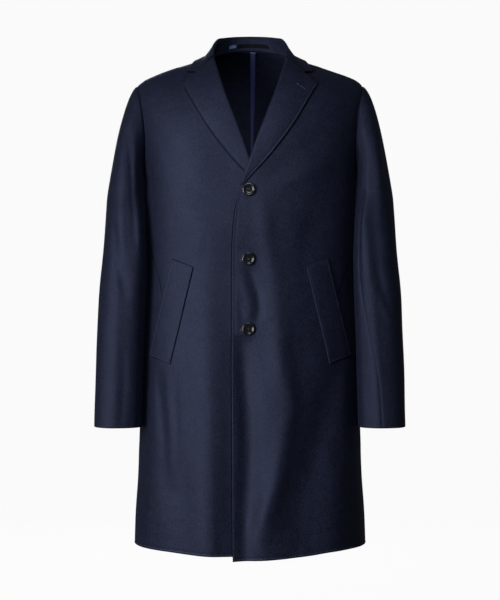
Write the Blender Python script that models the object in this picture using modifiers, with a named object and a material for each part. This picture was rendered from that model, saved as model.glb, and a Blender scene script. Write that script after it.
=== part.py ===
"""Wool overcoat, worn shape with no wearer: single-breasted, three buttons, notched lapels.

Metres, +Z up, front towards -Y, the wearer's left towards +X. The origin is at the base of the neck,
between the shoulders, where the wearer carries the coat. Each cut piece is a cloth wall, lofted through
sections that are worked out from the sizes below, with a narrow gap at every seam.
"""

import math
from collections import namedtuple

import bmesh
import bpy
from mathutils import Vector

COAT = "wool_overcoat"

# ---------------------------------------------------------------- driving dimensions
WALL = 0.002              # thickness of the coat cloth
SEAM_GAP = 0.0003         # gap between two pieces where they are sewn together
CHEST_Z = -0.245          # height of the bottom of the armholes
SHOULDER_Z = -0.0515      # height of the shoulder points
NECK_X = 0.078            # half the width of the neck at the shoulder seams
PLAN_POWER = 2.4          # superellipse power of the level sections
FRONT_POWER = 2.4         # the same for the upright sections of the chest
BACK_POWER = 2.8          # and of the upper back
ARMHOLE_FRONT = 0.52      # depth of the armhole ahead of the shoulder seam, as a share of the chest's
ARMHOLE_BACK = 0.60       # and behind it
SHOULDER_Y = 0.012        # how far the shoulder seams lie behind the middle of the body

Section = namedtuple("Section", "height half_width front back")
TORSO = (
    Section(-0.170, 0.2095, 0.136, 0.122),    # a mirrored row keeps the form upright at the underarm
    Section(-0.245, 0.2100, 0.134, 0.132),    # underarm
    Section(-0.320, 0.2095, 0.136, 0.122),
    Section(-0.420, 0.2085, 0.131, 0.110),    # waist
    Section(-0.540, 0.2135, 0.134, 0.116),
    Section(-0.680, 0.2180, 0.140, 0.126),    # hips
    Section(-0.820, 0.2230, 0.145, 0.134),
    Section(-0.900, 0.2278, 0.148, 0.138),
    Section(-0.985, 0.2310, 0.150, 0.141),    # hem
)

CHEST = TORSO[1]

ShoulderLine = namedtuple("ShoulderLine", "across height")
SHOULDER_LINE = (
    ShoulderLine(-0.040, 0.0260),         # a mirrored row keeps the line level at the middle
    ShoulderLine(0.000, 0.0330),
    ShoulderLine(0.040, 0.0260),
    ShoulderLine(NECK_X, 0.0080),
    ShoulderLine(0.102, -0.0025),
    ShoulderLine(0.155, -0.0188),
    ShoulderLine(0.208, -0.0386),
    ShoulderLine(0.2255, SHOULDER_Z),
    ShoulderLine(0.260, -0.0800),
)

ArmholeLine = namedtuple("ArmholeLine", "rise across")    # rise: 0 underarm, 1 shoulder point
ARMHOLE_LINE = (
    ArmholeLine(0.00, 0.2100),
    ArmholeLine(0.40, 0.2075),
    ArmholeLine(0.63, 0.2110),
    ArmholeLine(0.80, 0.2165),
    ArmholeLine(1.00, 0.2255),
)

NeckLine = namedtuple("NeckLine", "across height")        # seam of the back and the collar
BACK_NECK = (
    NeckLine(-0.030, 0.0248),
    NeckLine(0.000, 0.0270),
    NeckLine(0.030, 0.0248),
    NeckLine(0.055, 0.0185),
    NeckLine(NECK_X, 0.0080),
)

# Inner edge of each front, from the hem up the overlap, along the roll line to the shoulder seam.
# across is measured from the middle towards the piece's own side, so the overlap is negative.
FrontEdge = namedtuple("FrontEdge", "height across")
FRONT_EDGE = (
    FrontEdge(-0.985, -0.0325),
    FrontEdge(-0.690, -0.0345),
    FrontEdge(-0.420, -0.0350),
    FrontEdge(-0.360, -0.0337),
    FrontEdge(-0.323, -0.0306),
    FrontEdge(-0.290, -0.0250),
    FrontEdge(-0.262, -0.0165),
    FrontEdge(-0.2085, 0.0035),
    FrontEdge(-0.170, 0.0169),
    FrontEdge(-0.125, 0.0340),
    FrontEdge(-0.073, 0.0537),
    FrontEdge(-0.026, 0.0679),
    FrontEdge(0.0080, NECK_X),
)

HemLine = namedtuple("HemLine", "across left right")
FRONT_HEM = (
    HemLine(-0.035, -0.9797, -0.9702),
    HemLine(0.055, -0.9752, -0.9700),
    HemLine(0.115, -0.9700, -0.9675),
    HemLine(0.160, -0.9645, -0.9645),
    HemLine(0.231, -0.9620, -0.9620),
)
BACK_HEM_Z = -0.962

# The right front passes under the left one, further in by this much.
UnderLap = namedtuple("UnderLap", "height inset")
UNDER_LAP = (
    UnderLap(-0.985, 0.0045),
    UnderLap(-0.330, 0.0045),
    UnderLap(-0.270, 0.0080),
    UnderLap(-0.180, 0.0085),
    UnderLap(-0.050, 0.0000),
    UnderLap(0.034, 0.0000),
)
LAP_FULL_X, LAP_END_X = 0.034, 0.135      # the inset is whole up to the first and gone at the second

# The largest soft folds, as ridges (rise > 0) and troughs of the fronts and the back.
Fold = namedtuple("Fold", "side x_top z_top x_foot z_foot spread rise")
FOLDS = (
    Fold("left", 0.004, -0.300, 0.008, -0.990, 0.028, -0.0028),
    Fold("left", 0.075, -0.330, 0.030, -0.990, 0.032, 0.0060),
    Fold("left", 0.160, -0.600, 0.090, -0.990, 0.030, -0.0060),
    Fold("left", 0.170, -0.760, 0.165, -0.990, 0.022, 0.0040),
    Fold("right", 0.165, -0.610, 0.160, -0.860, 0.018, -0.0030),
    Fold("right", 0.070, -0.660, 0.080, -0.990, 0.035, 0.0035),
    Fold("back_left", 0.090, -0.560, 0.105, -0.990, 0.040, 0.0060),
    Fold("back_left", 0.165, -0.420, 0.155, -0.800, 0.026, -0.0040),
    Fold("back_right", 0.100, -0.540, 0.085, -0.990, 0.036, 0.0055),
    Fold("back_right", 0.155, -0.440, 0.165, -0.820, 0.028, -0.0045),
)

# Sleeves below the armhole: inner and outer edge across, middle and half depth,
# and how far ahead of the middle its inner edge leans.
SleeveRing = namedtuple("SleeveRing", "height inner outer middle half_depth lean")
SLEEVE = (
    SleeveRing(-0.275, 0.2091, 0.2832, -0.014, 0.072, 0.014),
    SleeveRing(-0.330, 0.2058, 0.2868, -0.028, 0.068, 0.026),
    SleeveRing(-0.400, 0.2031, 0.2908, -0.038, 0.065, 0.024),
    SleeveRing(-0.470, 0.2044, 0.2971, -0.042, 0.062, 0.020),
    SleeveRing(-0.540, 0.2072, 0.3005, -0.046, 0.059, 0.016),
    SleeveRing(-0.620, 0.2094, 0.3033, -0.051, 0.055, 0.012),
    SleeveRing(-0.728, 0.2122, 0.3048, -0.058, 0.050, 0.006),
)
SLEEVE_POWER = 2.2

# Sleeve head: how far its curve runs on from the armhole, and how far it comes in to the first ring,
# each at the underarm and, on top of that, at the shoulder point.
CROWN_LEAVE_OUT, CROWN_LEAVE_OUT_MORE = 0.002, 0.0185
CROWN_LEAVE_DOWN, CROWN_LEAVE_DOWN_MORE = 0.006, 0.0065
CROWN_ARRIVE_IN_MORE = 0.018
CROWN_ARRIVE_UP, CROWN_ARRIVE_UP_MORE = 0.010, 0.115
CROWN_SWELL_FRONT, CROWN_SWELL_BACK = 0.006, 0.007
SLEEVE_TOP_Z = SLEEVE[0].height
CUFF_Z = SLEEVE[-1].height

# Where the forearm seam runs, in degrees round the sleeve from its inner edge towards the front.
ForearmSeam = namedtuple("ForearmSeam", "height left right")
FOREARM_SEAM = (
    ForearmSeam(-0.245, 52.0, 52.0),
    ForearmSeam(-0.330, 40.0, 38.0),
    ForearmSeam(-0.420, 38.0, 32.0),
    ForearmSeam(-0.490, 50.0, 31.0),
    ForearmSeam(-0.545, 64.0, 31.0),
    ForearmSeam(-0.600, 76.0, 32.0),
    ForearmSeam(-0.660, 84.0, 33.0),
    ForearmSeam(-0.728, 87.0, 34.0),
)
HINDARM_SEAM = 48.0

# Lapels, seen from the front: the outer edge that each height of the roll line leads to.
LapelEdge = namedtuple("LapelEdge", "roll_z edge_x edge_z")
LAPEL = (
    LapelEdge(-0.2580, -0.0100, -0.2545),
    LapelEdge(-0.2360, 0.0090, -0.2345),
    LapelEdge(-0.1860, 0.0421, -0.1980),
    LapelEdge(-0.1160, 0.0830, -0.1430),
    LapelEdge(-0.0500, 0.1165, -0.0860),
    LapelEdge(-0.0040, 0.1330, -0.0575),
)
LAPEL_FOOT_ROW, LAPEL_TOP_ROW = 11.8, 20.5      # rows of the front between which the lapel rolls over
NOTCH = (0.1025, -0.0355)         # inner corner of the notch, where the gorge seam ends
ROLL_GAP = 0.0011                 # between a front's inner edge and the middle of the cloth rolled round it
ROLL_RADIUS = 0.0025              # of the middle of the cloth, where a lapel or the collar folds over
LAPEL_LIFT = 0.0024               # middle of the lapel's cloth above the front, along its outer edge
LAPEL_BELLY = 0.0018              # how much higher it lies between the roll line and that edge

# Collar, from the middle of the back (share 0) to the notch (share 1). ridge is its folded top edge;
# edge is its outer edge on the body, across and as an angle over the shoulder (90 = shoulder seam).
CollarLine = namedtuple("CollarLine", "share ridge_x ridge_y ridge_z edge_x edge_angle bulge")
COLLAR = (
    CollarLine(0.00, 0.0000, 0.0710, 0.0578, 0.0000, 116.5, 0.0000),
    CollarLine(0.20, 0.0270, 0.0660, 0.0565, 0.0350, 115.5, -0.0010),
    CollarLine(0.40, 0.0500, 0.0480, 0.0520, 0.0670, 110.5, -0.0040),
    CollarLine(0.55, 0.0620, 0.0270, 0.0460, 0.0895, 102.0, -0.0070),
    CollarLine(0.70, 0.0680, 0.0040, 0.0350, 0.1025, 89.0, -0.0080),
    CollarLine(0.85, 0.0715, -0.0190, 0.0195, 0.1125, 76.0, -0.0045),
    CollarLine(1.00, 0.0712, -0.0440, 0.0010, 0.1230, 61.5, 0.0000),
)
COLLAR_LIFT = 0.0026
GORGE_GAP = 0.0008                # taken off both the lapel and the collar along the gorge seam
STAND_GAP = 0.0019                # from the neck seam to the middle of the stand's foot
NECK_POINT_SHARE = 0.72           # share of the collar at which it passes the shoulder seam

# Pocket welts, seen from the front.
WELT_CORNERS = {"inner_top": (0.108, -0.416), "outer_top": (0.150, -0.400),
                "inner_foot": (0.153, -0.604), "outer_foot": (0.1955, -0.588)}
WELT_LIFT = 0.0010

BUTTON_PLACES = {"button_top": (-0.0020, -0.2685), "button_middle": (-0.0027, -0.4012),
                 "button_bottom": (-0.0027, -0.5354)}
BUTTON_RADIUS = 0.0127
BUTTON_THICKNESS = 0.0042
BUTTON_SHANK = 0.0012             # room that the thread shank leaves under the button
ButtonProfile = namedtuple("ButtonProfile", "radius height")    # shares of its radius and thickness
BUTTON_PROFILE = (
    ButtonProfile(0.00, 0.62),
    ButtonProfile(0.62, 0.62),    # dish round the holes
    ButtonProfile(0.74, 1.00),    # raised rim
    ButtonProfile(0.90, 1.00),
    ButtonProfile(1.00, 0.62),
    ButtonProfile(0.97, 0.25),
    ButtonProfile(0.70, 0.00),
    ButtonProfile(0.00, 0.00),
)
BUTTON_HOLE_RADIUS = 0.0011
BUTTON_HOLE_OFFSET = 0.0022

LOOP_HALF_LENGTH = 0.041
LOOP_MIDDLE_X = -0.0025
LOOP_THICKNESS = 0.0012
LOOP_TOP, LOOP_FOOT = 0.52, 0.28  # its edges, as shares of the stand's height
COLLAR_RUN = 0.13                 # distance across that the stand covers in a whole share, at the back
LOOP_GAP = 0.0013
BINDING_THICKNESS = 0.0010
BINDING_GAP = 0.0005
BINDING_X = 0.0012                # its edge nearest the seam
BINDING_WIDTH = 0.0050
BINDING_SPREAD = 0.0045           # how much wider it is at the neck
BINDING_TOP_TRIM = 0.12           # of its top row, which ends below the collar's stand

# Divisions of the lofts
LOWER_ROWS = 12
UPPER_ROWS = 10
FRONT_COLUMNS = 13
BACK_COLUMNS = 9
CROWN_ROWS = 6
ARM_ROWS = 8
SEAM_COLUMN = 3                   # column of the forearm seam, and the hindarm seam from the other end
COLLAR_ROWS = 26

NAVY_WOOL = (0.022, 0.026, 0.045, 1.0)
NAVY_SATIN = (0.06, 0.09, 0.18, 1.0)
DARK_HORN = (0.045, 0.040, 0.040, 1.0)


# ---------------------------------------------------------------- curves through the tables
def read(table, place, column):
    """Smooth value of a column at a place along the table's first column."""
    rising = table[-1][0] > table[0][0]
    last = len(table) - 1
    i = 0
    while i < last - 1 and (place > table[i + 1][0]) == rising and place != table[i + 1][0]:
        i += 1
    here, there = getattr(table[i], column), getattr(table[i + 1], column)
    step = table[i + 1][0] - table[i][0]
    k = min(1.0, max(0.0, (place - table[i][0]) / step))

    def slope(j):
        low, high = table[max(j - 1, 0)], table[min(j + 1, last)]
        return (getattr(high, column) - getattr(low, column)) / (high[0] - low[0]) * step

    return ((2 * k**3 - 3 * k**2 + 1) * here + (k**3 - 2 * k**2 + k) * slope(i)
            + (3 * k**2 - 2 * k**3) * there + (k**3 - k**2) * slope(i + 1))


def smooth_step(start, end, value):
    k = min(1.0, max(0.0, (value - start) / (end - start)))
    return k * k * (3 - 2 * k)


def signed_power(value, power):
    return math.copysign(abs(value) ** power, value)


# ---------------------------------------------------------------- the body's form
def ridge_z(x):
    """Height of the shoulder line at a distance from the middle."""
    return read(SHOULDER_LINE, abs(x), "height")


def armhole_rise(angle):
    """Rise of the armhole, 0 to 1, at an angle round it: 0 underarm, pi shoulder point."""
    return (1 - math.cos(angle)) / 2


def section_half_width(z, back):
    """Half width of the level section through z, as if the arms did not cut it off."""
    if z <= CHEST_Z:
        return read(TORSO, z, "half_width")
    rise = min(1.0, (z - CHEST_Z) / (SHOULDER_Z - CHEST_Z))
    share = (ARMHOLE_BACK if back else ARMHOLE_FRONT) * math.sqrt(1 - (1 - rise) ** 2)
    return read(ARMHOLE_LINE, rise, "across") / (1 - share**PLAN_POWER) ** (1 / PLAN_POWER)


def section_depth(x, z, back):
    """Depth of the body's front or back surface from its middle plane, before folds."""
    share = abs(x) / section_half_width(z, back)
    depth = max(0.0, 1 - share**PLAN_POWER) ** (1 / PLAN_POWER)
    if z <= CHEST_Z:
        return depth * read(TORSO, z, "back" if back else "front")
    power = BACK_POWER if back else FRONT_POWER
    rise = min(1.0, (z - CHEST_Z) / (ridge_z(x) - CHEST_Z))
    return depth * (CHEST.back if back else CHEST.front) * (1 - rise**power) ** (1 / power)


def shoulder_shift(x, z):
    """How far the upper body's middle plane lies behind the lower one's."""
    if z <= CHEST_Z:
        return 0.0
    return SHOULDER_Y * min(1.0, (z - CHEST_Z) / (ridge_z(x) - CHEST_Z)) ** 2


def fold_rise(side, x, z):
    """Height of the soft folds of one panel; each swells and fades along its own line."""
    rise = 0.0
    for fold in FOLDS:
        if fold.side != side or not fold.z_foot < z < fold.z_top:
            continue
        along = (fold.z_top - z) / (fold.z_top - fold.z_foot)
        middle = fold.x_top + (fold.x_foot - fold.x_top) * along
        swell = smooth_step(0.0, 0.45, along) * (1 - 0.35 * smooth_step(0.8, 1.0, along))
        edge = 1 - smooth_step(0.185, 0.21, x)
        rise += fold.rise * swell * edge * math.exp(-(((x - middle) / fold.spread) ** 2))
    return rise


def front_point(side, x, z):
    """Point of a front's outer surface; side is 1 for the left front and -1 for the right.

    x is measured towards the piece's own side. Near the middle the right front lies further in
    and takes the folds of the left front that covers it.
    """
    y = shoulder_shift(x, z) - section_depth(x, z, back=False)
    if side > 0:
        return Vector((x, y - fold_rise("left", x, z), z))
    covered = 1 - smooth_step(LAP_FULL_X, LAP_END_X, x)
    y -= (1 - covered) * fold_rise("right", x, z)
    y += covered * (read(UNDER_LAP, z, "inset") - fold_rise("left", -x, z))
    return Vector((-x, y, z))


def back_point(side, x, z):
    y = shoulder_shift(x, z) + section_depth(x, z, back=True)
    y += fold_rise("back_left" if side > 0 else "back_right", x, z)
    return Vector((side * x, y, z))


def armhole_point(side, angle, back):
    rise = armhole_rise(angle)
    x = read(ARMHOLE_LINE, rise, "across")
    z = CHEST_Z + rise * (SHOULDER_Z - CHEST_Z)
    return back_point(side, x, z) if back else front_point(side, x, z)


# ---------------------------------------------------------------- cut pieces as surfaces
def across_section(half_width, start, end, share):
    """Place across a level section, evenly spread along its curve from start to end."""
    def turn(x):
        return math.asin(max(-1.0, min(1.0, signed_power(x / half_width, PLAN_POWER / 2))))

    angle = turn(start) + (turn(end) - turn(start)) * share
    return half_width * signed_power(math.sin(angle), 2 / PLAN_POWER)


def row_rise(row):
    """Angle round the armhole and rise of an upper row (0 underarm, UPPER_ROWS shoulder seam)."""
    angle = math.pi * min(1.0, row / UPPER_ROWS)
    rise = armhole_rise(angle)
    x = read(ARMHOLE_LINE, rise, "across")
    z = CHEST_Z + rise * (SHOULDER_Z - CHEST_Z)
    return x, z, (z - CHEST_Z) / (ridge_z(x) - CHEST_Z)


def front_surface(side):
    """The left or right front as a function of row (hem to shoulder seam) and column share."""
    hem_column = "left" if side > 0 else "right"

    def point(row, share):
        if row < LOWER_ROWS:
            level = read(FRONT_HEM, 0.0, hem_column)
            for _ in range(3):
                z = level + (CHEST_Z - level) * row / LOWER_ROWS
                inner = read(FRONT_EDGE, z, "across")
                x = across_section(section_half_width(z, False), inner,
                                   section_half_width(z, False), share)
                level = read(FRONT_HEM, x, hem_column)
            z = level + (CHEST_Z - level) * row / LOWER_ROWS
            x = min(x, section_half_width(z, False))
            return front_point(side, x, z)
        x_end, z_end, rise = row_rise(row - LOWER_ROWS)
        z = z_end
        for _ in range(12):
            inner = read(FRONT_EDGE, z, "across")
            z = CHEST_Z + rise * (ridge_z(inner) - CHEST_Z)
        x = across_section(section_half_width(z_end, False), inner, x_end, share)
        return front_point(side, x, CHEST_Z + rise * (ridge_z(x) - CHEST_Z))

    return point


def back_surface(side):
    """The left or right half of the back, from the centre seam to the side seam."""
    def point(row, share):
        if row < LOWER_ROWS:
            z = BACK_HEM_Z + (CHEST_Z - BACK_HEM_Z) * row / LOWER_ROWS
            half_width = section_half_width(z, True)
            return back_point(side, across_section(half_width, 0.0, half_width, share), z)
        x_end, z_end, rise = row_rise(row - LOWER_ROWS)
        x = across_section(section_half_width(z_end, True), 0.0, x_end, share)
        top = ridge_z(x)
        if x < NECK_X:
            top = read(BACK_NECK, x, "height")
        return back_point(side, x, CHEST_Z + rise * (top - CHEST_Z))

    return point


def sleeve_turn(side, column, z):
    """Angle round the sleeve of a column: 0 inner edge, pi outer edge, over the front or back."""
    back = column > UPPER_ROWS
    place = 2 * UPPER_ROWS - column if back else column
    if back:
        seam = HINDARM_SEAM
    else:
        seam = read(FOREARM_SEAM, z, "left" if side > 0 else "right")
    if place < SEAM_COLUMN:
        return math.radians(seam * place / SEAM_COLUMN), back
    share = (place - SEAM_COLUMN) / (UPPER_ROWS - SEAM_COLUMN)
    return math.radians(seam + (180 - seam) * share), back


def sleeve_ring(side, column, z):
    """Point of a level ring of the sleeve below the armhole."""
    angle, back = sleeve_turn(side, column, z)
    inner, outer = read(SLEEVE, z, "inner"), read(SLEEVE, z, "outer")
    half_depth = read(SLEEVE, z, "half_depth") * (1 if back else -1)
    inward = signed_power(math.cos(angle), 2 / SLEEVE_POWER)
    x = (inner + outer) / 2 - (outer - inner) / 2 * inward
    middle = read(SLEEVE, z, "middle") - read(SLEEVE, z, "lean") * max(0.0, inward) ** 2
    y = middle + half_depth * abs(math.sin(angle)) ** (2 / SLEEVE_POWER)
    return Vector((side * x, y, z))


def sleeve_surface(side):
    """Sleeve as a function of row (armhole to cuff) and column round it."""
    def point(row, column):
        if row >= CROWN_ROWS:
            z = SLEEVE_TOP_Z + (CUFF_Z - SLEEVE_TOP_Z) * (row - CROWN_ROWS) / ARM_ROWS
            return sleeve_ring(side, column, z)
        back = column > UPPER_ROWS
        place = 2 * UPPER_ROWS - column if back else column
        angle = math.pi * place / UPPER_ROWS
        rise = armhole_rise(angle)
        start = armhole_point(side, angle, back) + Vector((side * SEAM_GAP, 0, 0))
        end = sleeve_ring(side, column, SLEEVE_TOP_Z)
        swell = math.sin(angle) * (CROWN_SWELL_BACK if back else -CROWN_SWELL_FRONT)
        leave = start + Vector((side * (CROWN_LEAVE_OUT + CROWN_LEAVE_OUT_MORE * rise), swell,
                                -CROWN_LEAVE_DOWN - CROWN_LEAVE_DOWN_MORE * rise))
        arrive = end + Vector((-side * CROWN_ARRIVE_IN_MORE * rise, 0,
                               CROWN_ARRIVE_UP + CROWN_ARRIVE_UP_MORE * rise))
        k = row / CROWN_ROWS
        return (start * (1 - k) ** 3 + leave * (3 * k * (1 - k) ** 2)
                + arrive * (3 * k**2 * (1 - k)) + end * k**3)

    return point


# ---------------------------------------------------------------- walls
def new_material(name, color, roughness, metallic=0.0):
    material = bpy.data.materials.new(name)
    material.use_nodes = True
    shader = material.node_tree.nodes["Principled BSDF"]
    shader.inputs["Base Color"].default_value = color
    shader.inputs["Roughness"].default_value = roughness
    shader.inputs["Metallic"].default_value = metallic
    material.diffuse_color = color
    return material


def add_object(name, mesh, material, parent, collection):
    body = bpy.data.objects.new(name, mesh)
    mesh.materials.append(material)
    collection.objects.link(body)
    body.parent = parent
    mesh.shade_smooth()
    mesh.set_sharp_from_angle(angle=math.radians(40))
    return body


def surface_normal(point, row, column, row_span, column_span):
    """Unit normal of a surface by small differences that stay inside its ranges."""
    step = 1e-3
    row_a, row_b = max(row_span[0], row - step), min(row_span[1], row + step)
    col_a, col_b = max(column_span[0], column - step), min(column_span[1], column + step)
    along = point(row_b, column) - point(row_a, column)
    across = point(row, col_b) - point(row, col_a)
    return along.cross(across).normalized()


def wall_mesh(name, point, rows, columns, out, trims):
    """Closed wall lofted over a surface: its outer points, and the same moved in by the wall.

    out turns the surface's normal outwards; trims names the edges that a seam cuts back.
    """
    spans = (rows[0], rows[-1]), (columns[0], columns[-1])
    outer = [[point(r, c) for c in columns] for r in rows]
    inner = [[outer[i][j] - out * WALL * surface_normal(point, r, c, *spans)
              for j, c in enumerate(columns)] for i, r in enumerate(rows)]
    for skin in (outer, inner):
        trim_edges(skin, trims)
    count = len(columns)
    mesh_build = bmesh.new()
    skins = [[[mesh_build.verts.new(p) for p in row] for row in skin] for skin in (outer, inner)]
    for i in range(len(rows) - 1):
        for j in range(count - 1):
            for skin in skins:
                mesh_build.faces.new((skin[i][j], skin[i][j + 1], skin[i + 1][j + 1], skin[i + 1][j]))
    loops = [[skin[0][j] for j in range(count)] + [skin[i][-1] for i in range(1, len(rows))]
             + [skin[-1][j] for j in range(count - 2, -1, -1)]
             + [skin[i][0] for i in range(len(rows) - 2, 0, -1)] for skin in skins]
    for k in range(len(loops[0])):
        n = (k + 1) % len(loops[0])
        mesh_build.faces.new((loops[0][k], loops[0][n], loops[1][n], loops[1][k]))
    return finish_mesh(name, mesh_build)


def trim_edges(skin, trims):
    """Move the named edges of a grid of points back from their seams by half the seam's gap."""
    edges = {"first_row": [((0, j), (1, j)) for j in range(len(skin[0]))],
             "last_row": [((-1, j), (-2, j)) for j in range(len(skin[0]))],
             "first_column": [((i, 0), (i, 1)) for i in range(len(skin))],
             "last_column": [((i, -1), (i, -2)) for i in range(len(skin))]}
    for name in trims:
        for (i, j), (m, n) in edges[name]:
            skin[i][j] = skin[i][j] + (skin[m][n] - skin[i][j]).normalized() * SEAM_GAP / 2


def finish_mesh(name, mesh_build):
    bmesh.ops.recalc_face_normals(mesh_build, faces=mesh_build.faces)
    if mesh_build.calc_volume(signed=True) < 0:
        bmesh.ops.reverse_faces(mesh_build, faces=mesh_build.faces)
    mesh = bpy.data.meshes.new(name)
    mesh_build.to_mesh(mesh)
    mesh_build.free()
    return mesh


def sheet_mesh(name, grid):
    """Open sheet of quads over a grid of points; a Solidify modifier gives it its thickness."""
    mesh_build = bmesh.new()
    rows = [[mesh_build.verts.new(p) for p in row] for row in grid]
    for i in range(len(rows) - 1):
        for j in range(len(rows[0]) - 1):
            mesh_build.faces.new((rows[i][j], rows[i][j + 1], rows[i + 1][j + 1], rows[i + 1][j]))
    mesh = bpy.data.meshes.new(name)
    mesh_build.to_mesh(mesh)
    mesh_build.free()
    return mesh


def thicken(body, thickness):
    solidify = body.modifiers.new("Cloth", "SOLIDIFY")
    solidify.thickness = thickness
    solidify.offset = 0.0
    solidify.use_even_offset = True


def spread(first, last, steps):
    return [first + (last - first) * k / steps for k in range(steps + 1)]


# ---------------------------------------------------------------- lapels
def skin_normal(skin, side, x, z):
    """Outward normal of front_point or back_point at a place seen from the front."""
    step = 5e-4
    up = skin(side, x, z + step) - skin(side, x, z - step)
    over = skin(side, x + step, z) - skin(side, x - step, z)
    normal = up.cross(over).normalized()
    return normal if (normal.y < 0) == (skin is front_point) else -normal


def raised(side, place, lift):
    """Point above a front's outer surface, at a place seen from the front."""
    return front_point(side, *place) + skin_normal(front_point, side, *place) * lift


def through_knee(start, knee, end, share):
    """Place on the bent line start, knee, end, with the knee at its middle."""
    if share <= 0.5:
        return start.lerp(knee, share * 2)
    return knee.lerp(end, share * 2 - 1)


def roll_point(side, row):
    """Point of a front's inner edge between two of its rows, on the straight line that joins them."""
    surface = front_surface(side)
    below = math.floor(row)
    return surface(below, 0.0).lerp(surface(below + 1, 0.0), row - below)


def lapel_rows():
    """Rows of the front that the lapel shares, and those half-way between them where it is wide."""
    rows = [LAPEL_FOOT_ROW]
    row = math.ceil(LAPEL_FOOT_ROW)
    while row < LAPEL_TOP_ROW:
        rows.append(row)
        row += 0.5 if 14 <= row < 19 else 1
    return rows + [LAPEL_TOP_ROW]


def lapel_grid(side):
    grid = []
    for front_row in lapel_rows():
        root = roll_point(side, front_row)
        roll = Vector((side * root.x, root.z))
        edge = Vector((read(LAPEL, root.z, "edge_x"), read(LAPEL, root.z, "edge_z")))
        knee = (roll + edge) / 2
        knee = knee.lerp(Vector(NOTCH), smooth_step(-0.05, LAPEL[-1].roll_z, root.z))
        normal = skin_normal(front_point, side, *roll)
        toward = front_point(side, *roll.lerp(edge, 0.1)) - front_point(side, *roll)
        toward = (toward - normal * toward.dot(normal)).normalized()
        row = []
        for turn in (-90, -45, 0, 45):
            angle = math.radians(turn)
            row.append(root - toward * (ROLL_GAP + ROLL_RADIUS * math.cos(angle))
                       + normal * (ROLL_RADIUS - WALL / 2 + ROLL_RADIUS * math.sin(angle)))
        top = 2 * ROLL_RADIUS - WALL / 2
        for share in spread(0.0, 1.0, 5):
            belly = LAPEL_BELLY * math.sin(math.pi * share) * smooth_step(-0.20, -0.12, root.z)
            lift = top + (LAPEL_LIFT - top) * share + belly
            row.append(raised(side, through_knee(roll, knee, edge, share), lift))
        grid.append(row)
    grid[-1] = [p + (q - p).normalized() * GORGE_GAP for p, q in zip(grid[-1], grid[-2])]
    return grid


# ---------------------------------------------------------------- collar
def over_shoulder(side, x, angle):
    """Point of the body at an angle over the shoulder: 0 chest, 90 shoulder seam, 180 upper back."""
    back = angle > 90
    power = BACK_POWER if back else FRONT_POWER
    rise = abs(math.sin(math.radians(angle))) ** (2 / power)
    z = CHEST_Z + rise * (ridge_z(x) - CHEST_Z)
    return back_point(side, x, z) if back else front_point(side, x, z)


def body_measure(point):
    """How far out a point lies: 1 on the upper body's surface, less inside, more outside."""
    x = abs(point.x)
    rise = max(0.0, (point.z - CHEST_Z) / (ridge_z(x) - CHEST_Z))
    shift = SHOULDER_Y * min(1.0, rise) ** 2
    back = point.y > shift
    power = BACK_POWER if back else FRONT_POWER
    half_width = section_half_width(min(point.z, ridge_z(x)), back)
    plan = max(1e-6, 1 - (x / half_width) ** PLAN_POWER) ** (1 / PLAN_POWER)
    reach = plan * (CHEST.back if back else CHEST.front)
    return (rise**power + (abs(point.y - shift) / reach) ** power) ** (1 / power)


def outward(point):
    """Direction in which a point leaves the upper body the fastest, and its distance from it."""
    step = 2e-4
    slope = Vector([(body_measure(point + axis * step) - body_measure(point - axis * step)) / (2 * step)
                    for axis in (Vector((1, 0, 0)), Vector((0, 1, 0)), Vector((0, 0, 1)))])
    return slope.normalized(), (body_measure(point) - 1) / slope.length


def clear_of_body(point, least):
    """The point itself, or moved out to the least distance from the body."""
    for _ in range(3):
        direction, distance = outward(point)
        if distance < least:
            point = point + direction * (least - distance)
    return point


def back_neck_point(side, x):
    """Point of the back's top edge at a distance from the middle, on the chords of its columns."""
    surface = back_surface(side)
    top = [surface(LOWER_ROWS + UPPER_ROWS, column / BACK_COLUMNS) for column in range(BACK_COLUMNS + 1)]
    j = max(j for j in range(BACK_COLUMNS) if abs(top[j].x) <= x + 1e-9)
    return top[j].lerp(top[j + 1], (x - abs(top[j].x)) / (abs(top[j + 1].x) - abs(top[j].x)))


def neck_seam(side, share):
    """Point of the neck seam at a share of the collar, over the back and down the front's edge."""
    if share <= NECK_POINT_SHARE:
        return back_neck_point(side, NECK_X * math.sin(share / NECK_POINT_SHARE * math.pi / 2))
    top = LOWER_ROWS + UPPER_ROWS
    down = (share - NECK_POINT_SHARE) / (1 - NECK_POINT_SHARE)
    return roll_point(side, top - 1e-6 + (LAPEL_TOP_ROW - top) * down)


def collar_base(side, share):
    """Foot of the collar's stand, level with the middle of the cloth, just inside the neck seam."""
    root = neck_seam(side, share)
    along = neck_seam(side, min(1.0, share + 0.02)) - neck_seam(side, max(0.0, share - 0.02))
    normal, _ = outward(root)
    inside = along.cross(normal).normalized()
    if inside.dot(Vector((-root.x, SHOULDER_Y - root.y, 0.02))) < 0:
        inside = -inside
    return root - normal * WALL / 2 + inside * STAND_GAP


def collar_frame(side, share):
    """Foot, ridge and outer edge of the collar at a share of its length, and its own directions."""
    base = collar_base(side, share)
    ridge = Vector((side * read(COLLAR, share, "ridge_x"), read(COLLAR, share, "ridge_y"),
                    read(COLLAR, share, "ridge_z")))
    edge = over_shoulder(side, read(COLLAR, share, "edge_x"), read(COLLAR, share, "edge_angle"))
    direction, _ = outward(edge)
    edge = edge + direction * COLLAR_LIFT
    rising = (ridge - (base + edge) / 2).normalized()
    out = (direction - rising * direction.dot(rising)).normalized()
    return base, ridge, edge, rising, out


def collar_stand(side, share, height):
    """Point of the stand between its foot (height 0) and its fold (height 1)."""
    base, ridge, edge, rising, out = collar_frame(side, share)
    return base.lerp(ridge - rising * ROLL_RADIUS - out * ROLL_RADIUS, height)


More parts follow.
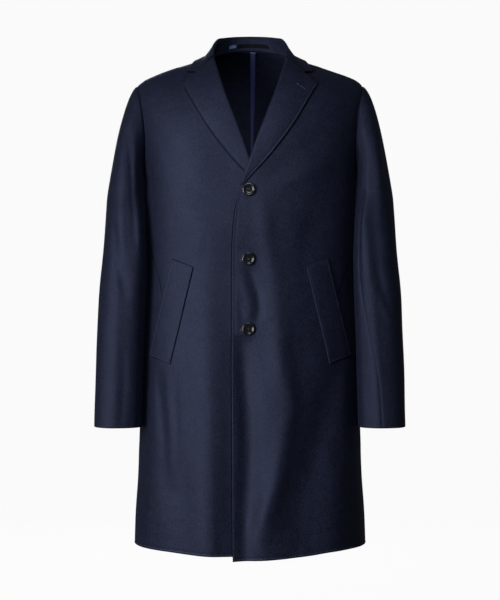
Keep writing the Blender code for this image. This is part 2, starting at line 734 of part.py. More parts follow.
def collar_row(side, share):
    base, ridge, edge, rising, out = collar_frame(side, share)
    centre = ridge - rising * ROLL_RADIUS
    row = [collar_stand(side, share, height) for height in (0.0, 0.33, 0.67)]
    for turn in (0, 45, 90, 135):
        angle = math.radians(turn)
        row.append(centre - out * ROLL_RADIUS * math.cos(angle) + rising * ROLL_RADIUS * math.sin(angle))
    fold = centre + out * ROLL_RADIUS
    knee = (fold + edge) / 2 + out * read(COLLAR, share, "bulge")
    notch = raised(side, NOTCH, COLLAR_LIFT)
    knee = knee.lerp(notch, smooth_step(0.8, 1.0, share))
    for step in spread(0.0, 1.0, 5):
        row.append(clear_of_body(through_knee(fold, knee, edge, step), COLLAR_LIFT))
    return row


def collar_grid():
    left = [collar_row(1, share) for share in spread(0.0, 1.0, COLLAR_ROWS // 2)]
    right = [collar_row(-1, share) for share in spread(0.0, 1.0, COLLAR_ROWS // 2)]
    grid = list(reversed(right[1:])) + left
    for end, inside in ((0, 1), (-1, -2)):
        grid[end] = [p + (q - p).normalized() * GORGE_GAP for p, q in zip(grid[end], grid[inside])]
    return grid


# ---------------------------------------------------------------- small pieces
def welt_grid(side):
    corners = {name: Vector(place) for name, place in WELT_CORNERS.items()}
    grid = []
    for down in spread(0.0, 1.0, 8):
        inner = corners["inner_top"].lerp(corners["inner_foot"], down)
        outer = corners["outer_top"].lerp(corners["outer_foot"], down)
        grid.append([raised(side, inner.lerp(outer, share), WELT_LIFT + WALL / 2)
                     for share in spread(0.0, 1.0, 3)])
    return grid


def loop_grid():
    """Hanger loop: a strip inside the stand of the collar, a little lower at its middle."""
    grid = []
    for x in spread(LOOP_MIDDLE_X - LOOP_HALF_LENGTH, LOOP_MIDDLE_X + LOOP_HALF_LENGTH, 10):
        side = 1 if x >= 0 else -1
        share = 0.0
        for _ in range(20):
            share += (abs(x) - abs(collar_stand(side, share, (LOOP_TOP + LOOP_FOOT) / 2).x)) / COLLAR_RUN
        out = collar_frame(side, share)[-1]
        inside = -out * (WALL / 2 + LOOP_THICKNESS / 2 + LOOP_GAP)
        grid.append([collar_stand(side, share, height) + inside for height in (LOOP_TOP, LOOP_FOOT)])
    return grid


def binding_grid():
    """Bound edge of the centre back seam, inside the left back, wider at the neck.

    Its points lie on the chords of the back's first column, moved in past the wall.
    """
    surface = back_surface(1)
    depth = WALL + BINDING_GAP + BINDING_THICKNESS / 2
    last = LOWER_ROWS + UPPER_ROWS
    grid = []
    for row in range(last + 1):
        seam, beside = [surface(row, share) - depth * surface_normal(surface, row, share, (0, last), (0, 1))
                        for share in (0.0, 1 / BACK_COLUMNS)]
        width = BINDING_WIDTH + BINDING_SPREAD * smooth_step(-0.20, 0.0, seam.z)
        grid.append([seam.lerp(beside, (x - seam.x) / (beside.x - seam.x))
                     for x in (BINDING_X, BINDING_X + width)])
    grid[-1] = [p.lerp(q, BINDING_TOP_TRIM) for p, q in zip(grid[-1], grid[-2])]
    return grid


def button_mesh(name):
    """Half profile of a rimmed button; the Screw modifier turns it round its axis."""
    points = [(p.radius * BUTTON_RADIUS, 0.0, p.height * BUTTON_THICKNESS) for p in BUTTON_PROFILE]
    mesh = bpy.data.meshes.new(name)
    mesh.from_pydata(points, [(k, k + 1) for k in range(len(points) - 1)], [])
    return mesh


def add_buttons(materials, parent, collection, cutters):
    for name, (x, z) in BUTTON_PLACES.items():
        body = bpy.data.objects.new(name, button_mesh(name))
        body.data.materials.append(materials["horn"])
        collection.objects.link(body)
        body.parent = parent
        normal = skin_normal(front_point, 1, x, z)
        body.location = raised(1, (x, z), BUTTON_SHANK)
        body.rotation_euler = normal.to_track_quat("Z", "X").to_euler()
        screw = body.modifiers.new("Turn", "SCREW")
        screw.angle = math.tau
        screw.steps = screw.render_steps = 24
        screw.use_merge_vertices = True
        screw.merge_threshold = 0.00001
        for k in range(4):
            angle = math.radians(45 + 90 * k)
            bpy.ops.mesh.primitive_cylinder_add(vertices=8, radius=BUTTON_HOLE_RADIUS,
                                                depth=4 * BUTTON_THICKNESS)
            cutter = bpy.context.object
            cutter.name = f"{name}_hole_{k}"
            for owner in list(cutter.users_collection):
                owner.objects.unlink(cutter)
            cutters.objects.link(cutter)
            cutter.parent = body
            cutter.location = (BUTTON_HOLE_OFFSET * math.cos(angle), BUTTON_HOLE_OFFSET * math.sin(angle), 0)
            cutter.hide_render = True
            cutter.display_type = "WIRE"
            cut = body.modifiers.new(f"Hole {k}", "BOOLEAN")
            cut.object = cutter
            cut.operation = "DIFFERENCE"


# ---------------------------------------------------------------- the coat
def add_panels(materials, parent, collection):
    rows = spread(0, LOWER_ROWS + UPPER_ROWS, LOWER_ROWS + UPPER_ROWS)
    sleeve_rows = spread(0, CROWN_ROWS + ARM_ROWS, CROWN_ROWS + ARM_ROWS)
    around = 2 * UPPER_ROWS
    for side, hand in ((1, "left"), (-1, "right")):
        front = wall_mesh(f"front_{hand}", front_surface(side), rows,
                          spread(0, 1, FRONT_COLUMNS), -side, ("last_column", "last_row"))
        back = wall_mesh(f"back_{hand}", back_surface(side), rows,
                         spread(0, 1, BACK_COLUMNS), side, ("first_column", "last_column", "last_row"))
        top_columns = spread(SEAM_COLUMN, around - SEAM_COLUMN, around - 2 * SEAM_COLUMN)
        under_columns = spread(-SEAM_COLUMN, SEAM_COLUMN, 2 * SEAM_COLUMN)
        sleeve = sleeve_surface(side)
        trims = ("first_column", "last_column")
        top = wall_mesh(f"top_sleeve_{hand}", sleeve, sleeve_rows, top_columns, side, trims)

        def under_point(row, column, sleeve=sleeve):
            return sleeve(row, column if column >= 0 else column + 2 * UPPER_ROWS)

        under = wall_mesh(f"under_sleeve_{hand}", under_point, sleeve_rows, under_columns, side, trims)
        for mesh in (front, back, top, under):
            add_object(mesh.name, mesh, materials["wool"], parent, collection)


def add_soft_trims(materials, parent, collection):
    sheets = [("collar", collar_grid(), WALL, "wool"),
              ("lapel_left", lapel_grid(1), WALL, "wool"),
              ("lapel_right", lapel_grid(-1), WALL, "wool"),
              ("pocket_welt_left", welt_grid(1), WALL, "wool"),
              ("pocket_welt_right", welt_grid(-1), WALL, "wool"),
              ("hanger_loop", loop_grid(), LOOP_THICKNESS, "satin"),
              ("back_seam_binding", binding_grid(), BINDING_THICKNESS, "satin")]
    for name, grid, thickness, material in sheets:
        body = add_object(name, sheet_mesh(name, grid), materials[material], parent, collection)
        thicken(body, thickness)


def new_collection(name):
    collection = bpy.data.collections.new(name)
    bpy.context.scene.collection.children.link(collection)
    return collection


def main():
    for old in list(bpy.data.objects):
        bpy.data.objects.remove(old, do_unlink=True)
    collection = new_collection(COAT)
    cutters = new_collection("cutters")
    coat = bpy.data.objects.new("coat_origin", None)
    collection.objects.link(coat)
    materials = {"wool": new_material("navy_wool", NAVY_WOOL, 0.85),
                 "satin": new_material("navy_satin", NAVY_SATIN, 0.35),
                 "horn": new_material("dark_horn", DARK_HORN, 0.3)}
    add_panels(materials, coat, collection)
    add_soft_trims(materials, coat, collection)
    add_buttons(materials, coat, collection, cutters)


main()
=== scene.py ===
"""Looks of the wool overcoat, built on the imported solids: fine cloth, seams, stitches, buttons, materials.

Metres, in the solids' own frame: +Z up, front towards -Y, the wearer's left towards +X. The sizes and
the functions of the coat's form repeat the solids' own, on finer grids, and the relief of creases,
seams and rolled edges is added along the cloth's normals.
"""

import math
from collections import namedtuple

import bmesh
import bpy
import numpy as np
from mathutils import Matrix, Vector


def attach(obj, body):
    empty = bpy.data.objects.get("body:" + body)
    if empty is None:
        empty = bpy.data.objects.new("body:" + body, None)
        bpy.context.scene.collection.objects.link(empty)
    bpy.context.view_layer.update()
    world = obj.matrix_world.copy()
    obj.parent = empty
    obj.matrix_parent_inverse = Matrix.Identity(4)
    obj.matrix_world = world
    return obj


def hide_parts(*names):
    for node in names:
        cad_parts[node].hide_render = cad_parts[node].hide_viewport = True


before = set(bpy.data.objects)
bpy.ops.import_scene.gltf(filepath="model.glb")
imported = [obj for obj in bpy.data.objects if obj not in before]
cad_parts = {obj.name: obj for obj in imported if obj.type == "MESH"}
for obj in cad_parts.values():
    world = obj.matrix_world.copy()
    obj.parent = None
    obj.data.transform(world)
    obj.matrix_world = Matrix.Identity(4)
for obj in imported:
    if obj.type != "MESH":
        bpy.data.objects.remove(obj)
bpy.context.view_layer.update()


def table(columns, *rows):
    """Rows with named columns."""
    row_kind = namedtuple("Row", columns)
    return tuple(row_kind(*row) for row in rows)


# ---- sizes of the solids
SIDES = ((1, "left"), (-1, "right"))
WALL = 0.002              # thickness of the coat cloth
SEAM_GAP = 0.0003         # gap between two pieces where they are sewn together
CHEST_Z = -0.245          # height of the bottom of the armholes
SHOULDER_Z = -0.0515      # height of the shoulder points
NECK_X = 0.078            # half the width of the neck at the shoulder seams
PLAN_POWER = 2.4          # superellipse power of the level sections
FRONT_POWER = 2.4         # the same for the upright sections of the chest
BACK_POWER = 2.8          # and of the upper back
ARMHOLE_FRONT = 0.52      # depth of the armhole ahead of the shoulder seam, as a share of the chest's
ARMHOLE_BACK = 0.60       # and behind it
SHOULDER_Y = 0.012        # how far the shoulder seams lie behind the middle of the body

# Level sections; the first row mirrors the third, so that the form is upright at the underarm.
TORSO = table(
    "height half_width front back",
    (-0.17, 0.2095, 0.136, 0.122), (-0.245, 0.21, 0.134, 0.132), (-0.32, 0.2095, 0.136, 0.122),
    (-0.42, 0.2085, 0.131, 0.11), (-0.54, 0.2135, 0.134, 0.116), (-0.68, 0.218, 0.14, 0.126),
    (-0.82, 0.223, 0.145, 0.134), (-0.9, 0.2278, 0.148, 0.138), (-0.985, 0.231, 0.15, 0.141))
CHEST = TORSO[1]

# The first row mirrors the third, so that the line is level at the middle.
SHOULDER_LINE = table(
    "across height",
    (-0.04, 0.026), (0.0, 0.033), (0.04, 0.026), (NECK_X, 0.008), (0.102, -0.0025), (0.155, -0.0188),
    (0.208, -0.0386), (0.2255, SHOULDER_Z), (0.26, -0.08))

# rise: 0 underarm, 1 shoulder point
ARMHOLE_LINE = table(
    "rise across",
    (0.0, 0.21), (0.4, 0.2075), (0.63, 0.211), (0.8, 0.2165), (1.0, 0.2255))

# Seam of the back and the collar.
BACK_NECK = table(
    "across height",
    (-0.03, 0.0248), (0.0, 0.027), (0.03, 0.0248), (0.055, 0.0185), (NECK_X, 0.008))

# Inner edge of each front, from the hem up the overlap, along the roll line to the shoulder seam.
# across is measured from the middle towards the piece's own side, so the overlap is negative.
FRONT_EDGE = table(
    "height across",
    (-0.985, -0.0325), (-0.69, -0.0345), (-0.42, -0.035), (-0.36, -0.0337), (-0.323, -0.0306),
    (-0.29, -0.025), (-0.262, -0.0165), (-0.2085, 0.0035), (-0.17, 0.0169), (-0.125, 0.034),
    (-0.073, 0.0537), (-0.026, 0.0679), (0.008, NECK_X))

FRONT_HEM = table(
    "across left right",
    (-0.035, -0.9797, -0.9702), (0.055, -0.9752, -0.97), (0.115, -0.97, -0.9675), (0.16, -0.9645, -0.9645),
    (0.231, -0.962, -0.962))
BACK_HEM_Z = -0.962

# The right front passes under the left one, further in by this much.
UNDER_LAP = table(
    "height inset",
    (-0.985, 0.0045), (-0.33, 0.0045), (-0.27, 0.008), (-0.18, 0.0085), (-0.05, 0.0), (0.034, 0.0))
LAP_FULL_X, LAP_END_X = 0.034, 0.135      # the inset is whole up to the first and gone at the second

# The largest soft folds, as ridges (rise > 0) and troughs of the fronts and the back.
FOLDS = table(
    "side x_top z_top x_foot z_foot spread rise",
    ("left", 0.004, -0.3, 0.008, -0.99, 0.028, -0.0028), ("left", 0.075, -0.33, 0.03, -0.99, 0.032, 0.006),
    ("left", 0.16, -0.6, 0.09, -0.99, 0.03, -0.006), ("left", 0.17, -0.76, 0.165, -0.99, 0.022, 0.004),
    ("right", 0.165, -0.61, 0.16, -0.86, 0.018, -0.003), ("right", 0.07, -0.66, 0.08, -0.99, 0.035, 0.0035),
    ("back_left", 0.09, -0.56, 0.105, -0.99, 0.04, 0.006),
    ("back_left", 0.165, -0.42, 0.155, -0.8, 0.026, -0.004),
    ("back_right", 0.1, -0.54, 0.085, -0.99, 0.036, 0.0055),
    ("back_right", 0.155, -0.44, 0.165, -0.82, 0.028, -0.0045))

# Sleeves below the armhole: inner and outer edge across, middle and half depth,
# and how far ahead of the middle its inner edge leans.
SLEEVE = table(
    "height inner outer middle half_depth lean",
    (-0.275, 0.2091, 0.2832, -0.014, 0.072, 0.014), (-0.33, 0.2058, 0.2868, -0.028, 0.068, 0.026),
    (-0.4, 0.2031, 0.2908, -0.038, 0.065, 0.024), (-0.47, 0.2044, 0.2971, -0.042, 0.062, 0.02),
    (-0.54, 0.2072, 0.3005, -0.046, 0.059, 0.016), (-0.62, 0.2094, 0.3033, -0.051, 0.055, 0.012),
    (-0.728, 0.2122, 0.3048, -0.058, 0.05, 0.006))
SLEEVE_TOP_Z, CUFF_Z = SLEEVE[0].height, SLEEVE[-1].height
SLEEVE_POWER = 2.2

# Sleeve head: how far its curve runs on from the armhole, and how far it comes in to the first ring,
# each at the underarm and, on top of that, at the shoulder point.
CROWN_LEAVE_OUT, CROWN_LEAVE_OUT_MORE = 0.002, 0.0185
CROWN_LEAVE_DOWN, CROWN_LEAVE_DOWN_MORE = 0.006, 0.0065
CROWN_ARRIVE_IN_MORE = 0.018
CROWN_ARRIVE_UP, CROWN_ARRIVE_UP_MORE = 0.010, 0.115
CROWN_SWELL_FRONT, CROWN_SWELL_BACK = 0.006, 0.007

# Where the forearm seam runs, in degrees round the sleeve from its inner edge towards the front.
FOREARM_SEAM = table(
    "height left right",
    (-0.245, 52.0, 52.0), (-0.33, 40.0, 38.0), (-0.42, 38.0, 32.0), (-0.49, 50.0, 31.0),
    (-0.545, 64.0, 31.0), (-0.6, 76.0, 32.0), (-0.66, 84.0, 33.0), (-0.728, 87.0, 34.0))
HINDARM_SEAM = 48.0

# Lapels, seen from the front: the outer edge that each height of the roll line leads to.
LAPEL = table(
    "roll_z edge_x edge_z",
    (-0.258, -0.01, -0.2545), (-0.236, 0.009, -0.2345), (-0.186, 0.0421, -0.198), (-0.116, 0.083, -0.143),
    (-0.05, 0.1165, -0.086), (-0.004, 0.133, -0.0575))
LAPEL_FOOT_ROW, LAPEL_TOP_ROW = 11.8, 20.5      # rows of the front between which the lapel rolls over
NOTCH = (0.1025, -0.0355)         # inner corner of the notch, where the gorge seam ends
ROLL_GAP = 0.0011                 # between a front's inner edge and the middle of the cloth rolled round it
ROLL_RADIUS = 0.0025              # of the middle of the cloth, where a lapel or the collar folds over
LAPEL_LIFT = 0.0024               # middle of the lapel's cloth above the front, along its outer edge
LAPEL_BELLY = 0.0018              # how much higher it lies between the roll line and that edge

# Collar, from the middle of the back (share 0) to the notch (share 1). ridge is its folded top edge;
# edge is its outer edge on the body, across and as an angle over the shoulder (90 = shoulder seam).
COLLAR = table(
    "share ridge_x ridge_y ridge_z edge_x edge_angle bulge",
    (0.0, 0.0, 0.071, 0.0578, 0.0, 116.5, 0.0), (0.2, 0.027, 0.066, 0.0565, 0.035, 115.5, -0.001),
    (0.4, 0.05, 0.048, 0.052, 0.067, 110.5, -0.004), (0.55, 0.062, 0.027, 0.046, 0.0895, 102.0, -0.007),
    (0.7, 0.068, 0.004, 0.035, 0.1025, 89.0, -0.008), (0.85, 0.0715, -0.019, 0.0195, 0.1125, 76.0, -0.0045),
    (1.0, 0.0712, -0.044, 0.001, 0.123, 61.5, 0.0))
COLLAR_LIFT = 0.0026
GORGE_GAP = 0.0008                # taken off both the lapel and the collar along the gorge seam
STAND_GAP = 0.0019                # from the neck seam to the middle of the stand's foot
NECK_POINT_SHARE = 0.72           # share of the collar at which it passes the shoulder seam

# Pocket welts, seen from the front: inner and outer end of the top and of the foot.
WELT_TOP = Vector((0.108, -0.416)), Vector((0.150, -0.400))
WELT_FOOT = Vector((0.153, -0.604)), Vector((0.1955, -0.588))
WELT_LIFT = 0.0010

BUTTON_PLACES = {"button_top": (-0.0020, -0.2685), "button_middle": (-0.0027, -0.4012),
                 "button_bottom": (-0.0027, -0.5354)}
BUTTON_RADIUS, BUTTON_THICKNESS = 0.0127, 0.0042
BUTTON_SHANK = 0.0012             # room that the thread shank leaves under the button
BUTTON_HOLE_RADIUS, BUTTON_HOLE_OFFSET = 0.0011, 0.0022

LOOP_HALF_LENGTH, LOOP_MIDDLE_X, LOOP_THICKNESS, LOOP_GAP = 0.041, -0.0025, 0.0012, 0.0013
LOOP_TOP, LOOP_FOOT = 0.52, 0.28  # its edges, as shares of the stand's height
COLLAR_RUN = 0.13                 # distance across that the stand covers in a whole share, at the back
BINDING_THICKNESS, BINDING_GAP, BINDING_WIDTH = 0.0010, 0.0005, 0.0050
BINDING_X = 0.0012                # its edge nearest the seam
BINDING_SPREAD = 0.0045           # how much wider it is at the neck
BINDING_TOP_TRIM = 0.12           # of its top row, which ends below the collar's stand

LOWER_ROWS, UPPER_ROWS = 12, 10   # rows of a front or back below the underarm and above it
BODY_ROWS = LOWER_ROWS + UPPER_ROWS
CROWN_ROWS, ARM_ROWS = 6, 8       # rows of the sleeve head and of the sleeve below it
SEAM_COLUMN = 3                   # column of the forearm seam, and the hindarm seam from the other end


# ---- curves through the tables
def read(rows, place, column):
    """Smooth value of a column at a place along the rows' first column."""
    rising = rows[-1][0] > rows[0][0]
    last = len(rows) - 1
    i = 0
    while i < last - 1 and (place > rows[i + 1][0]) == rising and place != rows[i + 1][0]:
        i += 1
    here, there = getattr(rows[i], column), getattr(rows[i + 1], column)
    step = rows[i + 1][0] - rows[i][0]
    k = min(1.0, max(0.0, (place - rows[i][0]) / step))

    def slope(j):
        low, high = rows[max(j - 1, 0)], rows[min(j + 1, last)]
        return (getattr(high, column) - getattr(low, column)) / (high[0] - low[0]) * step

    return ((2 * k**3 - 3 * k**2 + 1) * here + (k**3 - 2 * k**2 + k) * slope(i)
            + (3 * k**2 - 2 * k**3) * there + (k**3 - k**2) * slope(i + 1))


def smooth_step(start, end, value):
    k = min(1.0, max(0.0, (value - start) / (end - start)))
    return k * k * (3 - 2 * k)


def signed_power(value, power):
    return math.copysign(abs(value) ** power, value)


def oval(share, power):
    """Height of a superellipse of size 1 at a share of its half width."""
    return max(0.0, 1 - share**power) ** (1 / power)


def spread(first, last, steps):
    return [first + (last - first) * k / steps for k in range(steps + 1)]


# ---- the body's form
def ridge_z(x):
    """Height of the shoulder line at a distance from the middle."""
    return read(SHOULDER_LINE, abs(x), "height")


def rise_at(x, z):
    """Share of the way up from the underarm to the shoulder line."""
    return (z - CHEST_Z) / (ridge_z(x) - CHEST_Z)


def height_at(x, rise):
    return CHEST_Z + rise * (ridge_z(x) - CHEST_Z)


def armhole_place(angle):
    """Rise, place across and height of the armhole at an angle: 0 underarm, pi shoulder point."""
    rise = (1 - math.cos(angle)) / 2
    return rise, read(ARMHOLE_LINE, rise, "across"), CHEST_Z + rise * (SHOULDER_Z - CHEST_Z)


def section_half_width(z, back):
    """Half width of the level section through z, as if the arms did not cut it off."""
    if z <= CHEST_Z:
        return read(TORSO, z, "half_width")
    rise = min(1.0, (z - CHEST_Z) / (SHOULDER_Z - CHEST_Z))
    share = (ARMHOLE_BACK if back else ARMHOLE_FRONT) * math.sqrt(1 - (1 - rise) ** 2)
    return read(ARMHOLE_LINE, rise, "across") / oval(share, PLAN_POWER)


def section_depth(x, z, back):
    """Depth of the body's front or back surface from its middle plane, before folds."""
    depth = oval(abs(x) / section_half_width(z, back), PLAN_POWER)
    if z <= CHEST_Z:
        return depth * read(TORSO, z, "back" if back else "front")
    upright = oval(min(1.0, rise_at(x, z)), BACK_POWER if back else FRONT_POWER)
    return depth * (CHEST.back if back else CHEST.front) * upright


def shoulder_shift(x, z):
    """How far the upper body's middle plane lies behind the lower one's."""
    return SHOULDER_Y * min(1.0, max(0.0, rise_at(x, z))) ** 2


def fold_rise(side, x, z):
    """Height of the soft folds of one panel; each swells and fades along its own line."""
    rise = 0.0
    for fold in FOLDS:
        if fold.side != side or not fold.z_foot < z < fold.z_top:
            continue
        along = (fold.z_top - z) / (fold.z_top - fold.z_foot)
        middle = fold.x_top + (fold.x_foot - fold.x_top) * along
        swell = smooth_step(0.0, 0.45, along) * (1 - 0.35 * smooth_step(0.8, 1.0, along))
        edge = 1 - smooth_step(0.185, 0.21, x)
        rise += fold.rise * swell * edge * math.exp(-(((x - middle) / fold.spread) ** 2))
    return rise


def front_point(side, x, z):
    """Point of a front's outer surface; side is 1 for the left front and -1 for the right.

    x is measured towards the piece's own side. Near the middle the right front lies further in
    and takes the folds of the left front that covers it.
    """
    y = shoulder_shift(x, z) - section_depth(x, z, back=False)
    if side > 0:
        return Vector((x, y - fold_rise("left", x, z), z))
    covered = 1 - smooth_step(LAP_FULL_X, LAP_END_X, x)
    y -= (1 - covered) * fold_rise("right", x, z)
    y += covered * (read(UNDER_LAP, z, "inset") - fold_rise("left", -x, z))
    return Vector((-x, y, z))


def back_point(side, x, z):
    y = shoulder_shift(x, z) + section_depth(x, z, back=True)
    return Vector((side * x, y + fold_rise("back_left" if side > 0 else "back_right", x, z), z))


# ---- cut pieces as surfaces
def across_section(half_width, start, end, share):
    """Place across a level section, evenly spread along its curve from start to end."""
    def turn(x):
        return math.asin(max(-1.0, min(1.0, signed_power(x / half_width, PLAN_POWER / 2))))

    angle = turn(start) + (turn(end) - turn(start)) * share
    return half_width * signed_power(math.sin(angle), 2 / PLAN_POWER)


def upper_row(row):
    """Armhole end and rise of an upper row (0 underarm, UPPER_ROWS shoulder seam)."""
    _, x, z = armhole_place(math.pi * min(1.0, row / UPPER_ROWS))
    return x, z, rise_at(x, z)


def front_surface(side):
    """The left or right front as a function of row (hem to shoulder seam) and column share."""
    hem_column = "left" if side > 0 else "right"

    def point(row, share):
        if row < LOWER_ROWS:
            level = read(FRONT_HEM, 0.0, hem_column)
            for _ in range(3):
                z = level + (CHEST_Z - level) * row / LOWER_ROWS
                half_width = section_half_width(z, False)
                x = across_section(half_width, read(FRONT_EDGE, z, "across"), half_width, share)
                level = read(FRONT_HEM, x, hem_column)
            z = level + (CHEST_Z - level) * row / LOWER_ROWS
            return front_point(side, min(x, section_half_width(z, False)), z)
        x_end, z_end, rise = upper_row(row - LOWER_ROWS)
        z = z_end
        for _ in range(12):
            inner = read(FRONT_EDGE, z, "across")
            z = height_at(inner, rise)
        x = across_section(section_half_width(z_end, False), inner, x_end, share)
        return front_point(side, x, height_at(x, rise))

    return point


def back_surface(side):
    """The left or right half of the back, from the centre seam to the side seam."""
    def point(row, share):
        if row < LOWER_ROWS:
            z = BACK_HEM_Z + (CHEST_Z - BACK_HEM_Z) * row / LOWER_ROWS
            half_width = section_half_width(z, True)
            return back_point(side, across_section(half_width, 0.0, half_width, share), z)
        x_end, z_end, rise = upper_row(row - LOWER_ROWS)
        x = across_section(section_half_width(z_end, True), 0.0, x_end, share)
        top = read(BACK_NECK, x, "height") if x < NECK_X else ridge_z(x)
        return back_point(side, x, CHEST_Z + rise * (top - CHEST_Z))

    return point


def sleeve_ring(side, column, z):
    """Point of a level ring of the sleeve: columns run from its inner edge over the front to the back."""
    back = column > UPPER_ROWS
    place = 2 * UPPER_ROWS - column if back else column
    seam = HINDARM_SEAM if back else read(FOREARM_SEAM, z, "left" if side > 0 else "right")
    share = (place - SEAM_COLUMN) / (UPPER_ROWS - SEAM_COLUMN)
    degrees = seam * place / SEAM_COLUMN if place < SEAM_COLUMN else seam + (180 - seam) * share
    angle = math.radians(degrees)
    inner, outer = read(SLEEVE, z, "inner"), read(SLEEVE, z, "outer")
    half_depth = read(SLEEVE, z, "half_depth") * (1 if back else -1)
    inward = signed_power(math.cos(angle), 2 / SLEEVE_POWER)
    x = (inner + outer) / 2 - (outer - inner) / 2 * inward
    middle = read(SLEEVE, z, "middle") - read(SLEEVE, z, "lean") * max(0.0, inward) ** 2
    return Vector((side * x, middle + half_depth * abs(math.sin(angle)) ** (2 / SLEEVE_POWER), z))


def sleeve_surface(side):
    """Sleeve as a function of row (armhole to cuff) and column round it."""
    def point(row, column):
        if row >= CROWN_ROWS:
            z = SLEEVE_TOP_Z + (CUFF_Z - SLEEVE_TOP_Z) * (row - CROWN_ROWS) / ARM_ROWS
            return sleeve_ring(side, column, z)
        back = column > UPPER_ROWS
        angle = math.pi * (2 * UPPER_ROWS - column if back else column) / UPPER_ROWS
        rise, x, z = armhole_place(angle)
        start = (back_point if back else front_point)(side, x, z) + Vector((side * SEAM_GAP, 0, 0))
        end = sleeve_ring(side, column, SLEEVE_TOP_Z)
        swell = math.sin(angle) * (CROWN_SWELL_BACK if back else -CROWN_SWELL_FRONT)
        leave = start + Vector((side * (CROWN_LEAVE_OUT + CROWN_LEAVE_OUT_MORE * rise), swell,
                                -CROWN_LEAVE_DOWN - CROWN_LEAVE_DOWN_MORE * rise))
        arrive = end + Vector((-side * CROWN_ARRIVE_IN_MORE * rise, 0,
                               CROWN_ARRIVE_UP + CROWN_ARRIVE_UP_MORE * rise))
        k = row / CROWN_ROWS
        return (start * (1 - k) ** 3 + leave * (3 * k * (1 - k) ** 2)
                + arrive * (3 * k**2 * (1 - k)) + end * k**3)

    return point


# ---- what lies on the fronts
def front_normal(side, x, z):
    """Outward normal of front_point at a place seen from the front."""
    step = 5e-4
    up = front_point(side, x, z + step) - front_point(side, x, z - step)
    over = front_point(side, x + step, z) - front_point(side, x - step, z)
    normal = up.cross(over).normalized()
    return normal if normal.y < 0 else -normal


def raised(side, place, lift):
    """Point above a front's outer surface, at a place seen from the front."""
    return front_point(side, *place) + front_normal(side, *place) * lift


def through_knee(start, knee, end, share):
    """Place on the bent line start, knee, end, with the knee at its middle."""
    return start.lerp(knee, share * 2) if share <= 0.5 else knee.lerp(end, share * 2 - 1)


# ---- collar
def over_shoulder(side, x, angle):
    """Point of the body at an angle over the shoulder: 0 chest, 90 shoulder seam, 180 upper back."""
    back = angle > 90
    rise = abs(math.sin(math.radians(angle))) ** (2 / (BACK_POWER if back else FRONT_POWER))
    return (back_point if back else front_point)(side, x, height_at(x, rise))


def body_measure(point):
    """How far out a point lies: 1 on the upper body's surface, less inside, more outside."""
    x = abs(point.x)
    rise = max(0.0, rise_at(x, point.z))
    shift = shoulder_shift(x, point.z)
    back = point.y > shift
    power = BACK_POWER if back else FRONT_POWER
    half_width = section_half_width(min(point.z, ridge_z(x)), back)
    plan = max(1e-6, 1 - (x / half_width) ** PLAN_POWER) ** (1 / PLAN_POWER)
    reach = plan * (CHEST.back if back else CHEST.front)
    return (rise**power + (abs(point.y - shift) / reach) ** power) ** (1 / power)


def outward(point):
    """Direction in which a point leaves the upper body the fastest, and its distance from it."""
    step = 2e-4
    slope = Vector([(body_measure(point + axis * step) - body_measure(point - axis * step)) / (2 * step)
                    for axis in (Vector((1, 0, 0)), Vector((0, 1, 0)), Vector((0, 0, 1)))])
    return slope.normalized(), (body_measure(point) - 1) / slope.length


def clear_of_body(point, least):
    """The point itself, or moved out to the least distance from the body."""
    for _ in range(3):
        direction, distance = outward(point)
        if distance < least:
            point = point + direction * (least - distance)
    return point


def back_neck_point(side, x):
    """Point of the back's top edge at a distance from the middle."""
    surface = back_surface(side)
    low, high = 0.0, 1.0
    for _ in range(24):
        share = (low + high) / 2
        if abs(surface(BODY_ROWS, share).x) < x:
            low = share
        else:
            high = share
    return surface(BODY_ROWS, low)


def neck_seam(side, share):
    """Point of the neck seam at a share of the collar, over the back and down the front's edge."""
    if share <= NECK_POINT_SHARE:
        return back_neck_point(side, NECK_X * math.sin(share / NECK_POINT_SHARE * math.pi / 2))
    down = (share - NECK_POINT_SHARE) / (1 - NECK_POINT_SHARE)
    row = BODY_ROWS - 1e-6 + (LAPEL_TOP_ROW - BODY_ROWS) * down
    surface = front_surface(side)
    below = math.floor(row)
    return surface(below, 0.0).lerp(surface(below + 1, 0.0), row - below)


def collar_base(side, share):
    """Foot of the collar's stand, level with the middle of the cloth, just inside the neck seam."""
    root = neck_seam(side, share)
    along = neck_seam(side, min(1.0, share + 0.02)) - neck_seam(side, max(0.0, share - 0.02))
    normal, _ = outward(root)
    inside = along.cross(normal).normalized()
    if inside.dot(Vector((-root.x, SHOULDER_Y - root.y, 0.02))) < 0:
        inside = -inside
    return root - normal * WALL / 2 + inside * STAND_GAP


def collar_frame(side, share):
    """Foot, ridge and outer edge of the collar at a share of its length, and its own directions."""
    base = collar_base(side, share)
    ridge = Vector((side * read(COLLAR, share, "ridge_x"), read(COLLAR, share, "ridge_y"),
                    read(COLLAR, share, "ridge_z")))
    edge = over_shoulder(side, read(COLLAR, share, "edge_x"), read(COLLAR, share, "edge_angle"))
    direction, _ = outward(edge)
    edge = edge + direction * COLLAR_LIFT
    rising = (ridge - (base + edge) / 2).normalized()
    out = (direction - rising * direction.dot(rising)).normalized()
    return base, ridge, edge, rising, out


def collar_stand(side, share, height):
    """Point of the stand between its foot (height 0) and its fold (height 1)."""
    base, ridge, _, rising, out = collar_frame(side, share)
    return base.lerp(ridge - rising * ROLL_RADIUS - out * ROLL_RADIUS, height)


